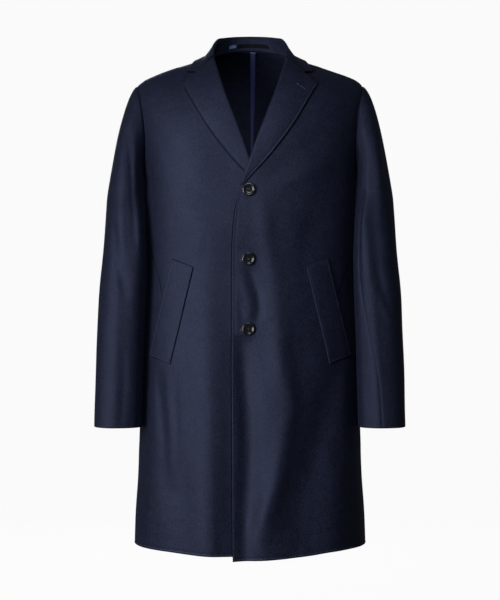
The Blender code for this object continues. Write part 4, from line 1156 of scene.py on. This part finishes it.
def front_cloth(side, hand):
    cloth = Cloth(sample(front_surface(side), HALF_ROWS, spread(0, 1, 26)), PANEL_STEP, -side,
                  row_breaks=(2 * LOWER_ROWS,))
    x, z = cloth.points[..., 0], cloth.points[..., 2]
    roll = np.array([read(FRONT_EDGE, max(-0.985, min(0.008, height)), "across") for height in z.ravel()])
    lapel_width = LAPEL_WIDTH * step01(CHEST_Z - 0.02, -0.10, z)
    past_lapel = side * x - roll.reshape(z.shape) - lapel_width + NECK_CALM * step01(-0.3, -0.2, -z)
    fade = calm_by(cloth.edge["last_column"], SEAM_FADE) * calm_by(cloth.edge["last_row"], SEAM_FADE)
    covered = 0.0 if side > 0 else 1.0 - step01(*COVER_X, -x)
    own = relief(f"body_{hand}", cloth.points, cloth.normals)
    over = relief("body_left", cloth.points, cloth.normals)
    folds = np.clip(own + (over - own) * covered, -FOLD_LIMIT, FOLD_LIMIT)
    cloth.settle(folds * fade * calm_by(past_lapel, NECK_CALM), "last_column", "last_row")
    cloth.rolled("first_row")
    foot = cloth.points[..., 2] < LAPEL_FOOT_Z
    cloth.rolled("first_column", keep=foot)
    cloth.channel("first_column", keep=foot)
    return cloth


def back_cloth(side, hand):
    cloth = Cloth(sample(back_surface(side), HALF_ROWS, spread(0, 1, 22)), BACK_STEP, side,
                  row_breaks=(2 * LOWER_ROWS,))
    fade = calm_by(cloth.edge["last_column"], SEAM_FADE) * calm_by(cloth.edge["last_row"], BACK_TOP_FADE)
    fade = fade * calm_by(cloth.edge["first_column"], CENTRE_FADE)
    cloth.settle(relief(f"body_{hand}", cloth.points, cloth.normals) * fade,
                 "first_column", "last_column", "last_row")
    cloth.rolled("first_row")
    return cloth


def sleeve_cloth(side, hand, first, last, steps):
    """One piece of a sleeve between two columns; half a column more at each side shapes its edges."""
    sleeve = sleeve_surface(side)
    rows = spread(0, CROWN_ROWS + ARM_ROWS, 2 * (CROWN_ROWS + ARM_ROWS))
    columns = [column if column >= 0 else column + 2 * UPPER_ROWS
               for column in spread(first - 0.5, last + 0.5, steps)]
    cuts = (1, steps - 1)
    cloth = Cloth(sample(sleeve, rows, columns), SLEEVE_STEP, side, column_breaks=(steps // 2,), cuts=cuts)
    fade = calm_by(cloth.edge["first_row"], HEAD_FADE)
    cloth.raise_by(relief(f"sleeve_{hand}", cloth.points, cloth.normals) * fade)
    cloth.cut(*cuts)
    inward = np.clip(-np.sign(cloth.points[..., 0]) * cloth.normals[..., 0], 0, 1) ** 2
    cloth.settle(INNER_RISE * inward * step01(0.23, 0.25, -cloth.points[..., 2]), "first_row")
    shown = step01(0.36, 0.46, -cloth.points[..., 2]) * (1.0 if hand == "left" else 0.5)
    cloth.seam("first_column", "last_column", keep=shown)
    cloth.rolled("last_row")
    return cloth


def main_panels():
    made = {}
    for side, hand in SIDES:
        made[f"front_{hand}"] = front_cloth(side, hand)
        made[f"back_{hand}"] = back_cloth(side, hand)
        made[f"top_sleeve_{hand}"] = sleeve_cloth(side, hand, SEAM_COLUMN, 2 * UPPER_ROWS - SEAM_COLUMN, 30)
        made[f"under_sleeve_{hand}"] = sleeve_cloth(side, hand, -SEAM_COLUMN, SEAM_COLUMN, 14)
    for name, cloth in made.items():
        kind = name.split("_")[0]
        if kind in ("front", "back"):
            cloth.channel("first_row")
        cloth.measure()
        cloth.trim(*PANEL_SEAMS[kind])
    return made


# ---- lapels and collar
LAPEL_STEP, COLLAR_STEP = 0.0026, 0.0028


def shortened(end, inner):
    """A grid's last line, drawn back towards the next one by the gap of the gorge seam."""
    return [p + (q - p).normalized() * GORGE_GAP for p, q in zip(end, inner)]


def lapel_cloth(side):
    grid = []
    for front_row in [LAPEL_FOOT_ROW] + spread(12.0, 20.0, 24) + [LAPEL_TOP_ROW]:
        root = front_surface(side)(front_row, 0.0)
        roll = Vector((side * root.x, root.z))
        edge = Vector((read(LAPEL, root.z, "edge_x"), read(LAPEL, root.z, "edge_z")))
        knee = ((roll + edge) / 2).lerp(Vector(NOTCH), smooth_step(-0.05, LAPEL[-1].roll_z, root.z))
        normal = front_normal(side, *roll)
        toward = front_point(side, *roll.lerp(edge, 0.1)) - front_point(side, *roll)
        toward = (toward - normal * toward.dot(normal)).normalized()
        row = []
        for angle in map(math.radians, (-90, -60, -30, 0, 30, 60)):
            row.append(root - toward * (ROLL_GAP + ROLL_RADIUS * math.cos(angle))
                       + normal * (ROLL_RADIUS - WALL / 2 + ROLL_RADIUS * math.sin(angle)))
        top = 2 * ROLL_RADIUS - WALL / 2
        for share in spread(0.0, 1.0, 10):
            belly = LAPEL_BELLY * math.sin(math.pi * share) * smooth_step(-0.20, -0.12, root.z)
            lift = top + (LAPEL_LIFT - top) * share + belly
            row.append(raised(side, through_knee(roll, knee, edge, share), lift))
        grid.append(row)
    grid[-1] = shortened(grid[-1], grid[-2])
    cloth = Cloth(grid, LAPEL_STEP, -side, column_breaks=(11,))
    cloth.face(True, len(cloth.normals) // 2, -3)
    cloth.line_inside(WALL, middle=True)
    cloth.rolled("last_column", "last_row")
    cloth.channel("last_column")
    return cloth


def collar_row(side, share):
    _, ridge, edge, rising, out = collar_frame(side, share)
    centre = ridge - rising * ROLL_RADIUS
    row = [collar_stand(side, share, height) for height in (0.0, 0.25, 0.5, 0.75)]
    for angle in map(math.radians, (0, 30, 60, 90, 120, 150)):
        row.append(centre - out * ROLL_RADIUS * math.cos(angle) + rising * ROLL_RADIUS * math.sin(angle))
    fold = centre + out * ROLL_RADIUS
    knee = (fold + edge) / 2 + out * read(COLLAR, share, "bulge")
    knee = knee.lerp(raised(side, NOTCH, COLLAR_LIFT), smooth_step(0.8, 1.0, share))
    return row + [clear_of_body(through_knee(fold, knee, edge, step), COLLAR_LIFT)
                  for step in spread(0.0, 1.0, 10)]


def collar_cloth():
    left, right = [[collar_row(side, share) for share in spread(0.0, 1.0, 26)] for side, _ in SIDES]
    grid = right[:0:-1] + left
    grid[0], grid[-1] = shortened(grid[0], grid[1]), shortened(grid[-1], grid[-2])
    cloth = Cloth(grid, COLLAR_STEP, 1, column_breaks=(15,))
    cloth.face(False, len(cloth.normals) // 2, -3)
    cloth.line_inside(WALL, middle=True)
    cloth.rolled("last_column")
    cloth.channel("last_column")
    return cloth


# ---- small pieces of cloth
WELT_STEP = 0.0024
WELT_STITCH_INSET, LAPEL_STITCH_INSET = 0.0038, 0.0042
LOOP_STEP, STRIP_STEP = 0.003, 0.0035
ALLOWANCE_THICKNESS, ALLOWANCE_GAP = 0.0008, 0.0008
ALLOWANCE_X = (-0.0009, 0.0090)               # its edges, measured from the centre seam
ALL_EDGES = "first_column", "last_column", "first_row", "last_row"


def welt_cloth(side, hand):
    grid = []
    for down in spread(0.0, 1.0, 24):
        inner, outer = [top.lerp(foot, down) for top, foot in zip(WELT_TOP, WELT_FOOT)]
        grid.append([raised(side, inner.lerp(outer, share), WELT_LIFT + WALL)
                     for share in spread(0.0, 1.0, 6)])
    cloth = Cloth(grid, WELT_STEP, side)
    cloth.face(True, 5, 5)
    cloth.raise_by(relief(f"body_{hand}", cloth.points, cloth.normals))
    cloth.line_inside(WALL)
    cloth.rolled("first_row", "last_row", "first_column", "last_column")
    cloth.channel(*ALL_EDGES, inset=WELT_STITCH_INSET)
    return cloth


def loop_samples():
    grid = []
    for x in spread(LOOP_MIDDLE_X - LOOP_HALF_LENGTH, LOOP_MIDDLE_X + LOOP_HALF_LENGTH, 20):
        side = 1 if x >= 0 else -1
        share = 0.0
        for _ in range(20):
            share += (abs(x) - abs(collar_stand(side, share, (LOOP_TOP + LOOP_FOOT) / 2).x)) / COLLAR_RUN
        inside = -collar_frame(side, share)[-1] * (WALL / 2 + LOOP_THICKNESS / 2 + LOOP_GAP)
        grid.append([collar_stand(side, share, height) + inside for height in spread(LOOP_TOP, LOOP_FOOT, 4)])
    return grid


def surface_normal(point, row, share):
    """Unit normal of a back's surface by small differences that stay inside its ranges."""
    step = 1e-3
    along = point(min(BODY_ROWS, row + step), share) - point(max(0, row - step), share)
    over = point(row, min(1, share + step)) - point(row, max(0, share - step))
    return along.cross(over).normalized()


def inner_strip(side, first_x, last_x, depth):
    """Grid of a strip on the inside of one back half, along the centre seam."""
    surface = back_surface(side)
    grid = []
    for row in spread(0, BODY_ROWS, 44):
        seam, beside = [surface(row, share) - side * depth * surface_normal(surface, row, share)
                        for share in (0.0, 1 / 9)]
        width = last_x + BINDING_SPREAD * smooth_step(-0.20, 0.0, seam.z) * (1 if side > 0 else 0)
        grid.append([seam.lerp(beside, (x - abs(seam.x)) / (abs(beside.x) - abs(seam.x)))
                     for x in spread(first_x, width, 3)])
    grid[-1] = [p.lerp(q, BINDING_TOP_TRIM) for p, q in zip(grid[-1], grid[-2])]
    return grid


# ---- buttons
# Turned profile of a button, from the middle of its top round its rim: shares of its radius and thickness
BUTTON_PROFILE = ((0.0, 0.60), (0.30, 0.58), (0.52, 0.60), (0.60, 0.66), (0.66, 0.84), (0.72, 0.96),
                  (0.80, 1.0), (0.89, 0.98), (0.95, 0.90), (0.99, 0.74), (1.0, 0.55), (0.98, 0.30),
                  (0.90, 0.10), (0.70, 0.0), (0.0, 0.0))
BUTTON_SIDES, HOLE_SIDES = 64, 20
X_AXIS, Y_AXIS, Z_AXIS = Vector((1, 0, 0)), Vector((0, 1, 0)), Vector((0, 0, 1))
THREAD_RADIUS, THREAD_OFFSET = 0.00030, 0.00028   # of a button's thread, and from the middle of its pair
SHANK_RADIUS, SHANK_TURN_RADIUS = 0.00028, 0.0019     # of the wound thread and of its turns


def button_piece(name, x, z):
    """Fine turned button: dished middle with four holes, raised rim with rounded edges."""
    build = bmesh.new()
    rings = []
    for radius, height in BUTTON_PROFILE:
        centre = Z_AXIS * height * BUTTON_THICKNESS
        ring = circle(centre, X_AXIS, Y_AXIS, BUTTON_RADIUS * radius, BUTTON_SIDES) if radius else [centre]
        rings.append([build.verts.new(point) for point in ring])
    for a, b in zip(rings, rings[1:]):
        for k in range(BUTTON_SIDES):
            n = (k + 1) % BUTTON_SIDES
            face = [a[k % len(a)], a[n % len(a)], b[n % len(b)], b[k % len(b)]]
            build.faces.new(list(dict.fromkeys(face)))
    bmesh.ops.recalc_face_normals(build, faces=build.faces)
    body = linked(name, built_mesh(name, build))
    cutters = []
    for k in range(4):
        angle = math.radians(45 + 90 * k)
        build = bmesh.new()
        bmesh.ops.create_cone(build, cap_ends=True, segments=HOLE_SIDES, radius1=BUTTON_HOLE_RADIUS,
                              radius2=BUTTON_HOLE_RADIUS, depth=4 * BUTTON_THICKNESS)
        cutter = linked(f"{name}_cutter_{k}", built_mesh(f"{name}_cutter_{k}", build))
        cutter.location = (BUTTON_HOLE_OFFSET * math.cos(angle), BUTTON_HOLE_OFFSET * math.sin(angle), 0)
        cutters.append(cutter)
        cut = body.modifiers.new(f"Hole {k}", "BOOLEAN")
        cut.object = cutter
        cut.operation = "DIFFERENCE"
    bpy.context.view_layer.update()
    drilled = bpy.data.meshes.new_from_object(body.evaluated_get(bpy.context.evaluated_depsgraph_get()))
    drilled.name = f"{name}_look"
    for old in (body, *cutters):
        bpy.data.objects.remove(old, do_unlink=True)
    drilled.materials.clear()
    drilled.materials.append(HORN)
    drilled.shade_smooth()
    drilled.set_sharp_from_angle(angle=SHARP_ANGLE)
    turn = front_normal(1, x, z).to_track_quat("Z", "X").to_matrix().to_4x4()
    turn.translation = raised(1, (x, z), BUTTON_SHANK)
    drilled.transform(turn)
    piece = add_piece(f"{name}_look", drilled)
    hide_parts(name)
    return piece, turn


def add_thread(build, points, radius, sides=8):
    """Round thread along a line of points."""
    rings = []
    side = None
    for k, point in enumerate(points):
        way = (points[min(k + 1, len(points) - 1)] - points[max(k - 1, 0)]).normalized()
        side = way.orthogonal().normalized() if side is None else (side - way * side.dot(way)).normalized()
        rings.append(circle(point, side, way.cross(side), radius, sides))
    add_tube(build, rings)


def add_button_thread(name, turn, parent):
    """Crossed threads through the four holes, and the wound shank under the button."""
    build = bmesh.new()
    foot = BUTTON_THICKNESS * BUTTON_PROFILE[0][1] - 0.0012
    for degrees, lift in ((45, 0.0018), (135, 0.0023)):
        angle = math.radians(degrees)
        way = Vector((math.cos(angle), math.sin(angle), 0))
        side = Vector((-math.sin(angle), math.cos(angle), 0))
        for offset in (-THREAD_OFFSET, THREAD_OFFSET):
            start, end = [way * reach + side * offset for reach in (BUTTON_HOLE_OFFSET, -BUTTON_HOLE_OFFSET)]
            add_thread(build, [start.lerp(end, t) + Z_AXIS * (foot + lift * min(1.0, 4 * min(t, 1 - t)))
                               for t in spread(0, 1, 14)], THREAD_RADIUS)
    for k in range(3):
        turns = circle(Z_AXIS * (-0.0002 - 0.0004 * k), X_AXIS, Y_AXIS, SHANK_TURN_RADIUS, 16)
        add_thread(build, turns + turns[:1], SHANK_RADIUS, 6)
    add_built(name, build, BUTTON_THREAD, parent, turn)


# ---- buttonholes and shades
HOLE_WIDTH, HOLE_CORD = 0.0016, 0.00062           # half the width of a buttonhole, radius of its cord
CORD_LIFT, SLIT_LIFT = 0.0002, 0.00015            # of a buttonhole's cord and slit above the cloth
SHADE_STRIP_LIFT, SHADE_STRIP_DROP = 0.00034, 0.00012       # lift of a painted shade strip's middle, and how much lower its edges lie
NOTCH_SINK = 0.0016                               # of a notch's shade below the collar's outer face
NOTCH_REACH = (-0.0004, 0.0010, 0.0024)           # and how far its lines lie past the collar's end
SHADE_OFFSET = 0.0004                             # of a shade's middle past the edge that throws it
OVERLAP_SHADE_WIDTH, LAPEL_SHADE_WIDTH = 0.0022, 0.0018
DARTS = {"left": ((0.2145, -0.350), (0.2050, -0.381), (0.1935, -0.4069), (0.1792, -0.4430),
                  (0.1710, -0.470)),
         "right": ((-0.2040, -0.350), (-0.1960, -0.3755), (-0.1820, -0.4195), (-0.1745, -0.4500),
                   (-0.1690, -0.476))}
DART_SHADE_WIDTH = 0.0015


def add_buttonhole(name, cloth, start, end, parent, width=HOLE_WIDTH, radius=HOLE_CORD):
    """Worked buttonhole: a corded loop with its slit drawn as a strip of painted shade, laid on the cloth
    between two places.
    """
    first, last = Vector(start), Vector(end)
    way = (last - first).normalized()
    side = Vector((-way.y, way.x))
    half = []
    for centre, far, sign in ((first, last, 1), (last, first, -1)):
        half.append([centre.lerp(far, k / 25) + side * width * sign for k in range(26)])
        half[-1] += [far + (way * math.sin(a) + side * math.cos(a)) * width * sign
                     for a in (math.pi * k / 12 for k in range(1, 12))]
    loop = half[0] + half[1]
    rings = []
    for k, place in enumerate(loop):
        point, normal = cloth.near(*place)
        point = Vector((place.x, point.y, place.y)) + normal * CORD_LIFT
        after = loop[(k + 1) % len(loop)]
        along = Vector((after.x - place.x, 0, after.y - place.y)).normalized()
        over = along.cross(normal).normalized()
        rings.append(circle(point, over, normal * 0.8, radius * (1.0 + 0.18 * (k % 2)), 6))
    cord, slit = bmesh.new(), bmesh.new()
    add_tube(cord, rings, closed=True)
    rows = []
    for t in spread(0.0, 1.0, 12):
        centre = first.lerp(last, t)
        point, normal = cloth.near(*centre)
        rows.append([Vector((centre.x + side.x * w, point.y, centre.y + side.y * w)) + normal * SLIT_LIFT
                     for w in (-width * 0.8, width * 0.8)])
    add_strip(slit, rows)
    add_built(name, cord, THREAD, parent)
    add_built(f"{name}_slit", slit, SEAM_SHADE, parent)


def add_shade_strip(name, cloth, places, width, parent, fade_first=1, fade_last=8):
    """Thin strip of painted shade laid on a cloth through places given as x and z; it narrows over its last
    ones.
    """
    rows = []
    for k, (x, z) in enumerate(places):
        point, normal = cloth.surface_at(x, z)
        after = places[min(k + 1, len(places) - 1)] - places[max(k - 1, 0)]
        side = Vector((after[0], 0, after[1])).normalized().cross(normal).normalized()
        fade = min(1.0, (len(places) - 1 - k) / fade_last, (k + 1) / fade_first)
        rows.append([point + side * width / 2 * w * fade + normal * (SHADE_STRIP_LIFT - SHADE_STRIP_DROP * abs(w))
                     for w in (-1.0, 0.0, 1.0)])
    build = bmesh.new()
    add_strip(build, rows)
    add_built(name, build, SEAM_SHADE, parent)


def add_notch_shade(hand, collar, parent):
    """Painted shade in the gap of a notch: a narrow dark strip below the end of the collar's fall."""
    last, fourth = (-1, -4) if hand == "left" else (0, 3)
    end, inner, normals = collar.points[last], collar.points[fourth], collar.normals[last]
    rows = []
    for k in range(len(end) // 2, len(end)):
        if abs(end[k][0]) >= NOTCH[0] - 0.001:
            way = (end[k] - inner[k]) / np.linalg.norm(end[k] - inner[k])
            rows.append([end[k] - normals[k] * NOTCH_SINK + way * reach for reach in NOTCH_REACH])
    build = bmesh.new()
    add_strip(build, rows)
    add_built(f"notch_{hand}_shade", build, SEAM_SHADE, parent)


def beside_edge(cloth, offset, first, last):
    """Places a little outside a lapel's outer edge, between two shares of its length."""
    edge, inner = cloth.points[:, -1, ::2], cloth.points[:, -4, ::2]
    places = []
    for k in range(int(first * (len(edge) - 1)), int(last * (len(edge) - 1)) + 1):
        out = edge[k] - inner[k]
        places.append(edge[k] + out / max(1e-9, np.linalg.norm(out)) * offset)
    return places


# ---- the whole coat
def build_coat():
    cloths = main_panels()
    pieces = {name: add_cloth(f"{name}_cloth", cloth, node=name) for name, cloth in cloths.items()}
    rest = {}
    for side, hand in SIDES:
        rest[f"lapel_{hand}"] = lapel_cloth(side)
        rest[f"pocket_welt_{hand}"] = welt_cloth(side, hand)
    rest["collar"] = collar_cloth()
    for name, cloth in rest.items():
        pieces[name] = add_cloth(f"{name}_cloth", cloth, node=name)
    return {**cloths, **rest}, pieces


# Stitched lines of each piece: edge, inset from it, and what is left free at the line's start and end
STITCHED = {"front": (("first_column", STITCH_INSET, 0.006, 0.315),
                      ("first_row", STITCH_INSET, 0.006, 0.004)),
            "back": (("first_row", STITCH_INSET, 0.004, 0.004),),
            "lapel": (("last_column", LAPEL_STITCH_INSET, 0.004, 0.004),),
            "pocket_welt": [(edge, WELT_STITCH_INSET, 0.004, 0.004) for edge in ALL_EDGES],
            "collar": (("last_column", LAPEL_STITCH_INSET, 0.004, 0.004),)}


def stitch_piece(cloths, pieces, kind, hand="", **sizes):
    name = kind + hand
    add_stitches(f"{name.removeprefix('pocket_')}_stitches",
                 [cloths[name].line(*line) for line in STITCHED[kind]], pieces[name], **sizes)


def add_details(cloths, pieces):
    for _, hand in SIDES:
        front, on_front = cloths[f"front_{hand}"], pieces[f"front_{hand}"]
        for kind in ("front", "back", "lapel"):
            stitch_piece(cloths, pieces, kind, f"_{hand}")
        stitch_piece(cloths, pieces, "pocket_welt", f"_{hand}", pitch=0.0042, length=0.0024, radius=0.00024)
        # Each dart's seam is drawn as a thin strip of painted shade along its line.
        dart_shade = cubic_matrix(5, np.linspace(0, 4, 60)) @ np.array(DARTS[hand])
        add_shade_strip(f"dart_{hand}", front, list(dart_shade), DART_SHADE_WIDTH, on_front)
        add_notch_shade(hand, cloths["collar"], pieces["collar"])
        if hand == "right":
            beside = [np.array((x - SHADE_OFFSET, z)) for x, _, z in cloths["front_left"].points[:, 0]
                      if -0.972 < z < -0.275]
            add_shade_strip("overlap_shade", front, beside, OVERLAP_SHADE_WIDTH, on_front, 6, 6)
        beside = beside_edge(cloths[f"lapel_{hand}"], SHADE_OFFSET, 0.08, 0.93)
        add_shade_strip(f"lapel_{hand}_edge_shade", front, beside, LAPEL_SHADE_WIDTH, on_front, 6, 4)
    stitch_piece(cloths, pieces, "collar")
    for name, (x, z) in BUTTON_PLACES.items():
        button, turn = button_piece(name, x, z)
        add_button_thread(f"{name}_thread", turn, button)
    for name, x_start, z in (("buttonhole_top", -0.0125, -0.2685), ("buttonhole_middle", -0.0172, -0.4040),
                             ("buttonhole_bottom", -0.0172, -0.5372)):
        add_buttonhole(name, cloths["front_left"], (x_start, z), (0.006, z), pieces["front_left"])
    add_buttonhole("buttonhole_lapel", cloths["lapel_left"], (0.0911, -0.0603), (0.1066, -0.0711),
                   pieces["lapel_left"], width=0.0004, radius=0.00032)


def add_inside(pieces):
    loop = Cloth(loop_samples(), LOOP_STEP, 1)
    loop.line_inside(LOOP_THICKNESS, middle=True)
    loop_piece = add_cloth("hanger_loop_satin", loop, LOOP_SATIN, "hanger_loop")
    binding = Cloth(inner_strip(1, BINDING_X, BINDING_X + BINDING_WIDTH,
                                WALL + BINDING_GAP + BINDING_THICKNESS / 2), STRIP_STEP, 1)
    binding.line_inside(BINDING_THICKNESS, middle=True)
    binding_piece = add_cloth("back_seam_binding_satin", binding, SATIN, "back_seam_binding")
    allowance = Cloth(inner_strip(-1, *ALLOWANCE_X, WALL + ALLOWANCE_GAP), STRIP_STEP, -1)
    allowance.line_inside(ALLOWANCE_THICKNESS, middle=True)
    strip = add_piece("seam_allowance_right", cloth_mesh("seam_allowance_right", allowance, WOOL))
    strip.parent = pieces["back_right"]
    allowance.points, allowance.normals = allowance.inside, -allowance.normals
    add_stitches("seam_allowance_stitches", [allowance.line("first_column", 0.0040, stop=0.30)], strip)
    return loop_piece, binding_piece


# ---- stage
STAGE_PLACE, STAGE_RADIUS = (0, 0, -1.46), 9.0
WORLD_COLOR, WORLD_STRENGTH = (0.92, 0.95, 1.0, 1.0), 0.05
COOL = (0.95, 0.97, 1.0)
# name, place, size, power and colour of each soft light
LIGHTS = (("key", (-2.15, -2.60, -0.20), (1.4, 2.0), 85.0, (1.0, 0.98, 0.96)),
          ("top_fill", (-0.3, -2.6, 1.9), (1.4, 1.2), 7.0, COOL),
          ("neck_fill", (0.0, -1.5, 0.45), (0.5, 0.5), 3.0, COOL),
          ("back_fill", (-0.5, 3.5, 0.4), (1.6, 2.0), 30.0, COOL))
LIT_POINT = Vector((0, 0, -0.45))
CAMERA_PLACE = (0.0, -3.1, -0.48)
SENSOR_WIDTH, FIELD_HEIGHT = 36.0, 1.2    # of the camera, and how much it shows at the coat, top to foot


def on_stage(name, color, strength):
    """Name and colour the stage's part just made; the cloth neither mirrors it nor is lit by it."""
    part = bpy.context.object
    part.name = name
    part.data.materials.append(Shader(f"pale_{name}").finish(
        Base_Color=rgba(color), Roughness=0.9, Specular_IOR_Level=0.0, Emission_Color=WHITE,
        Emission_Strength=strength))
    part.visible_diffuse = part.visible_glossy = False
    return part


def build_stage():
    """Pale floor and a pale surround that only the camera sees, a soft key from the front left, and fill."""
    scene = bpy.context.scene
    bpy.ops.mesh.primitive_circle_add(vertices=96, radius=STAGE_RADIUS, fill_type="NGON",
                                      location=STAGE_PLACE)
    floor = on_stage("floor", 0.04, 0.952)
    bpy.ops.mesh.primitive_uv_sphere_add(segments=64, ring_count=32, radius=STAGE_RADIUS,
                                         location=STAGE_PLACE)
    surround = on_stage("surround", 0.0, 0.956)
    surround.data.shade_smooth()
    surround.visible_shadow = surround.visible_transmission = surround.visible_volume_scatter = False
    world = bpy.data.worlds.new("studio")
    scene.world = world
    world.use_nodes = True
    background = world.node_tree.nodes["Background"].inputs
    background["Color"].default_value, background["Strength"].default_value = WORLD_COLOR, WORLD_STRENGTH
    for name, place, size, energy, color in LIGHTS:
        lamp = bpy.data.lights.new(name, "AREA")
        lamp.shape = "RECTANGLE"
        lamp.size, lamp.size_y = size
        lamp.energy, lamp.color = energy, color
        light = linked(name, lamp)
        light.location = place
        light.rotation_euler = (LIT_POINT - Vector(place)).to_track_quat("-Z", "Y").to_euler()
    lens = bpy.data.cameras.new("camera")
    lens.sensor_width = SENSOR_WIDTH
    lens.lens = SENSOR_WIDTH * -CAMERA_PLACE[1] / FIELD_HEIGHT
    camera = linked("camera", lens)
    camera.location = CAMERA_PLACE
    camera.rotation_euler = (math.radians(90), 0.0, 0.0)
    scene.camera = camera
    scene.view_settings.view_transform = "Standard"


def main():
    build_stage()
    cloths, pieces = build_coat()
    add_details(cloths, pieces)
    loop, binding = add_inside(pieces)


main()
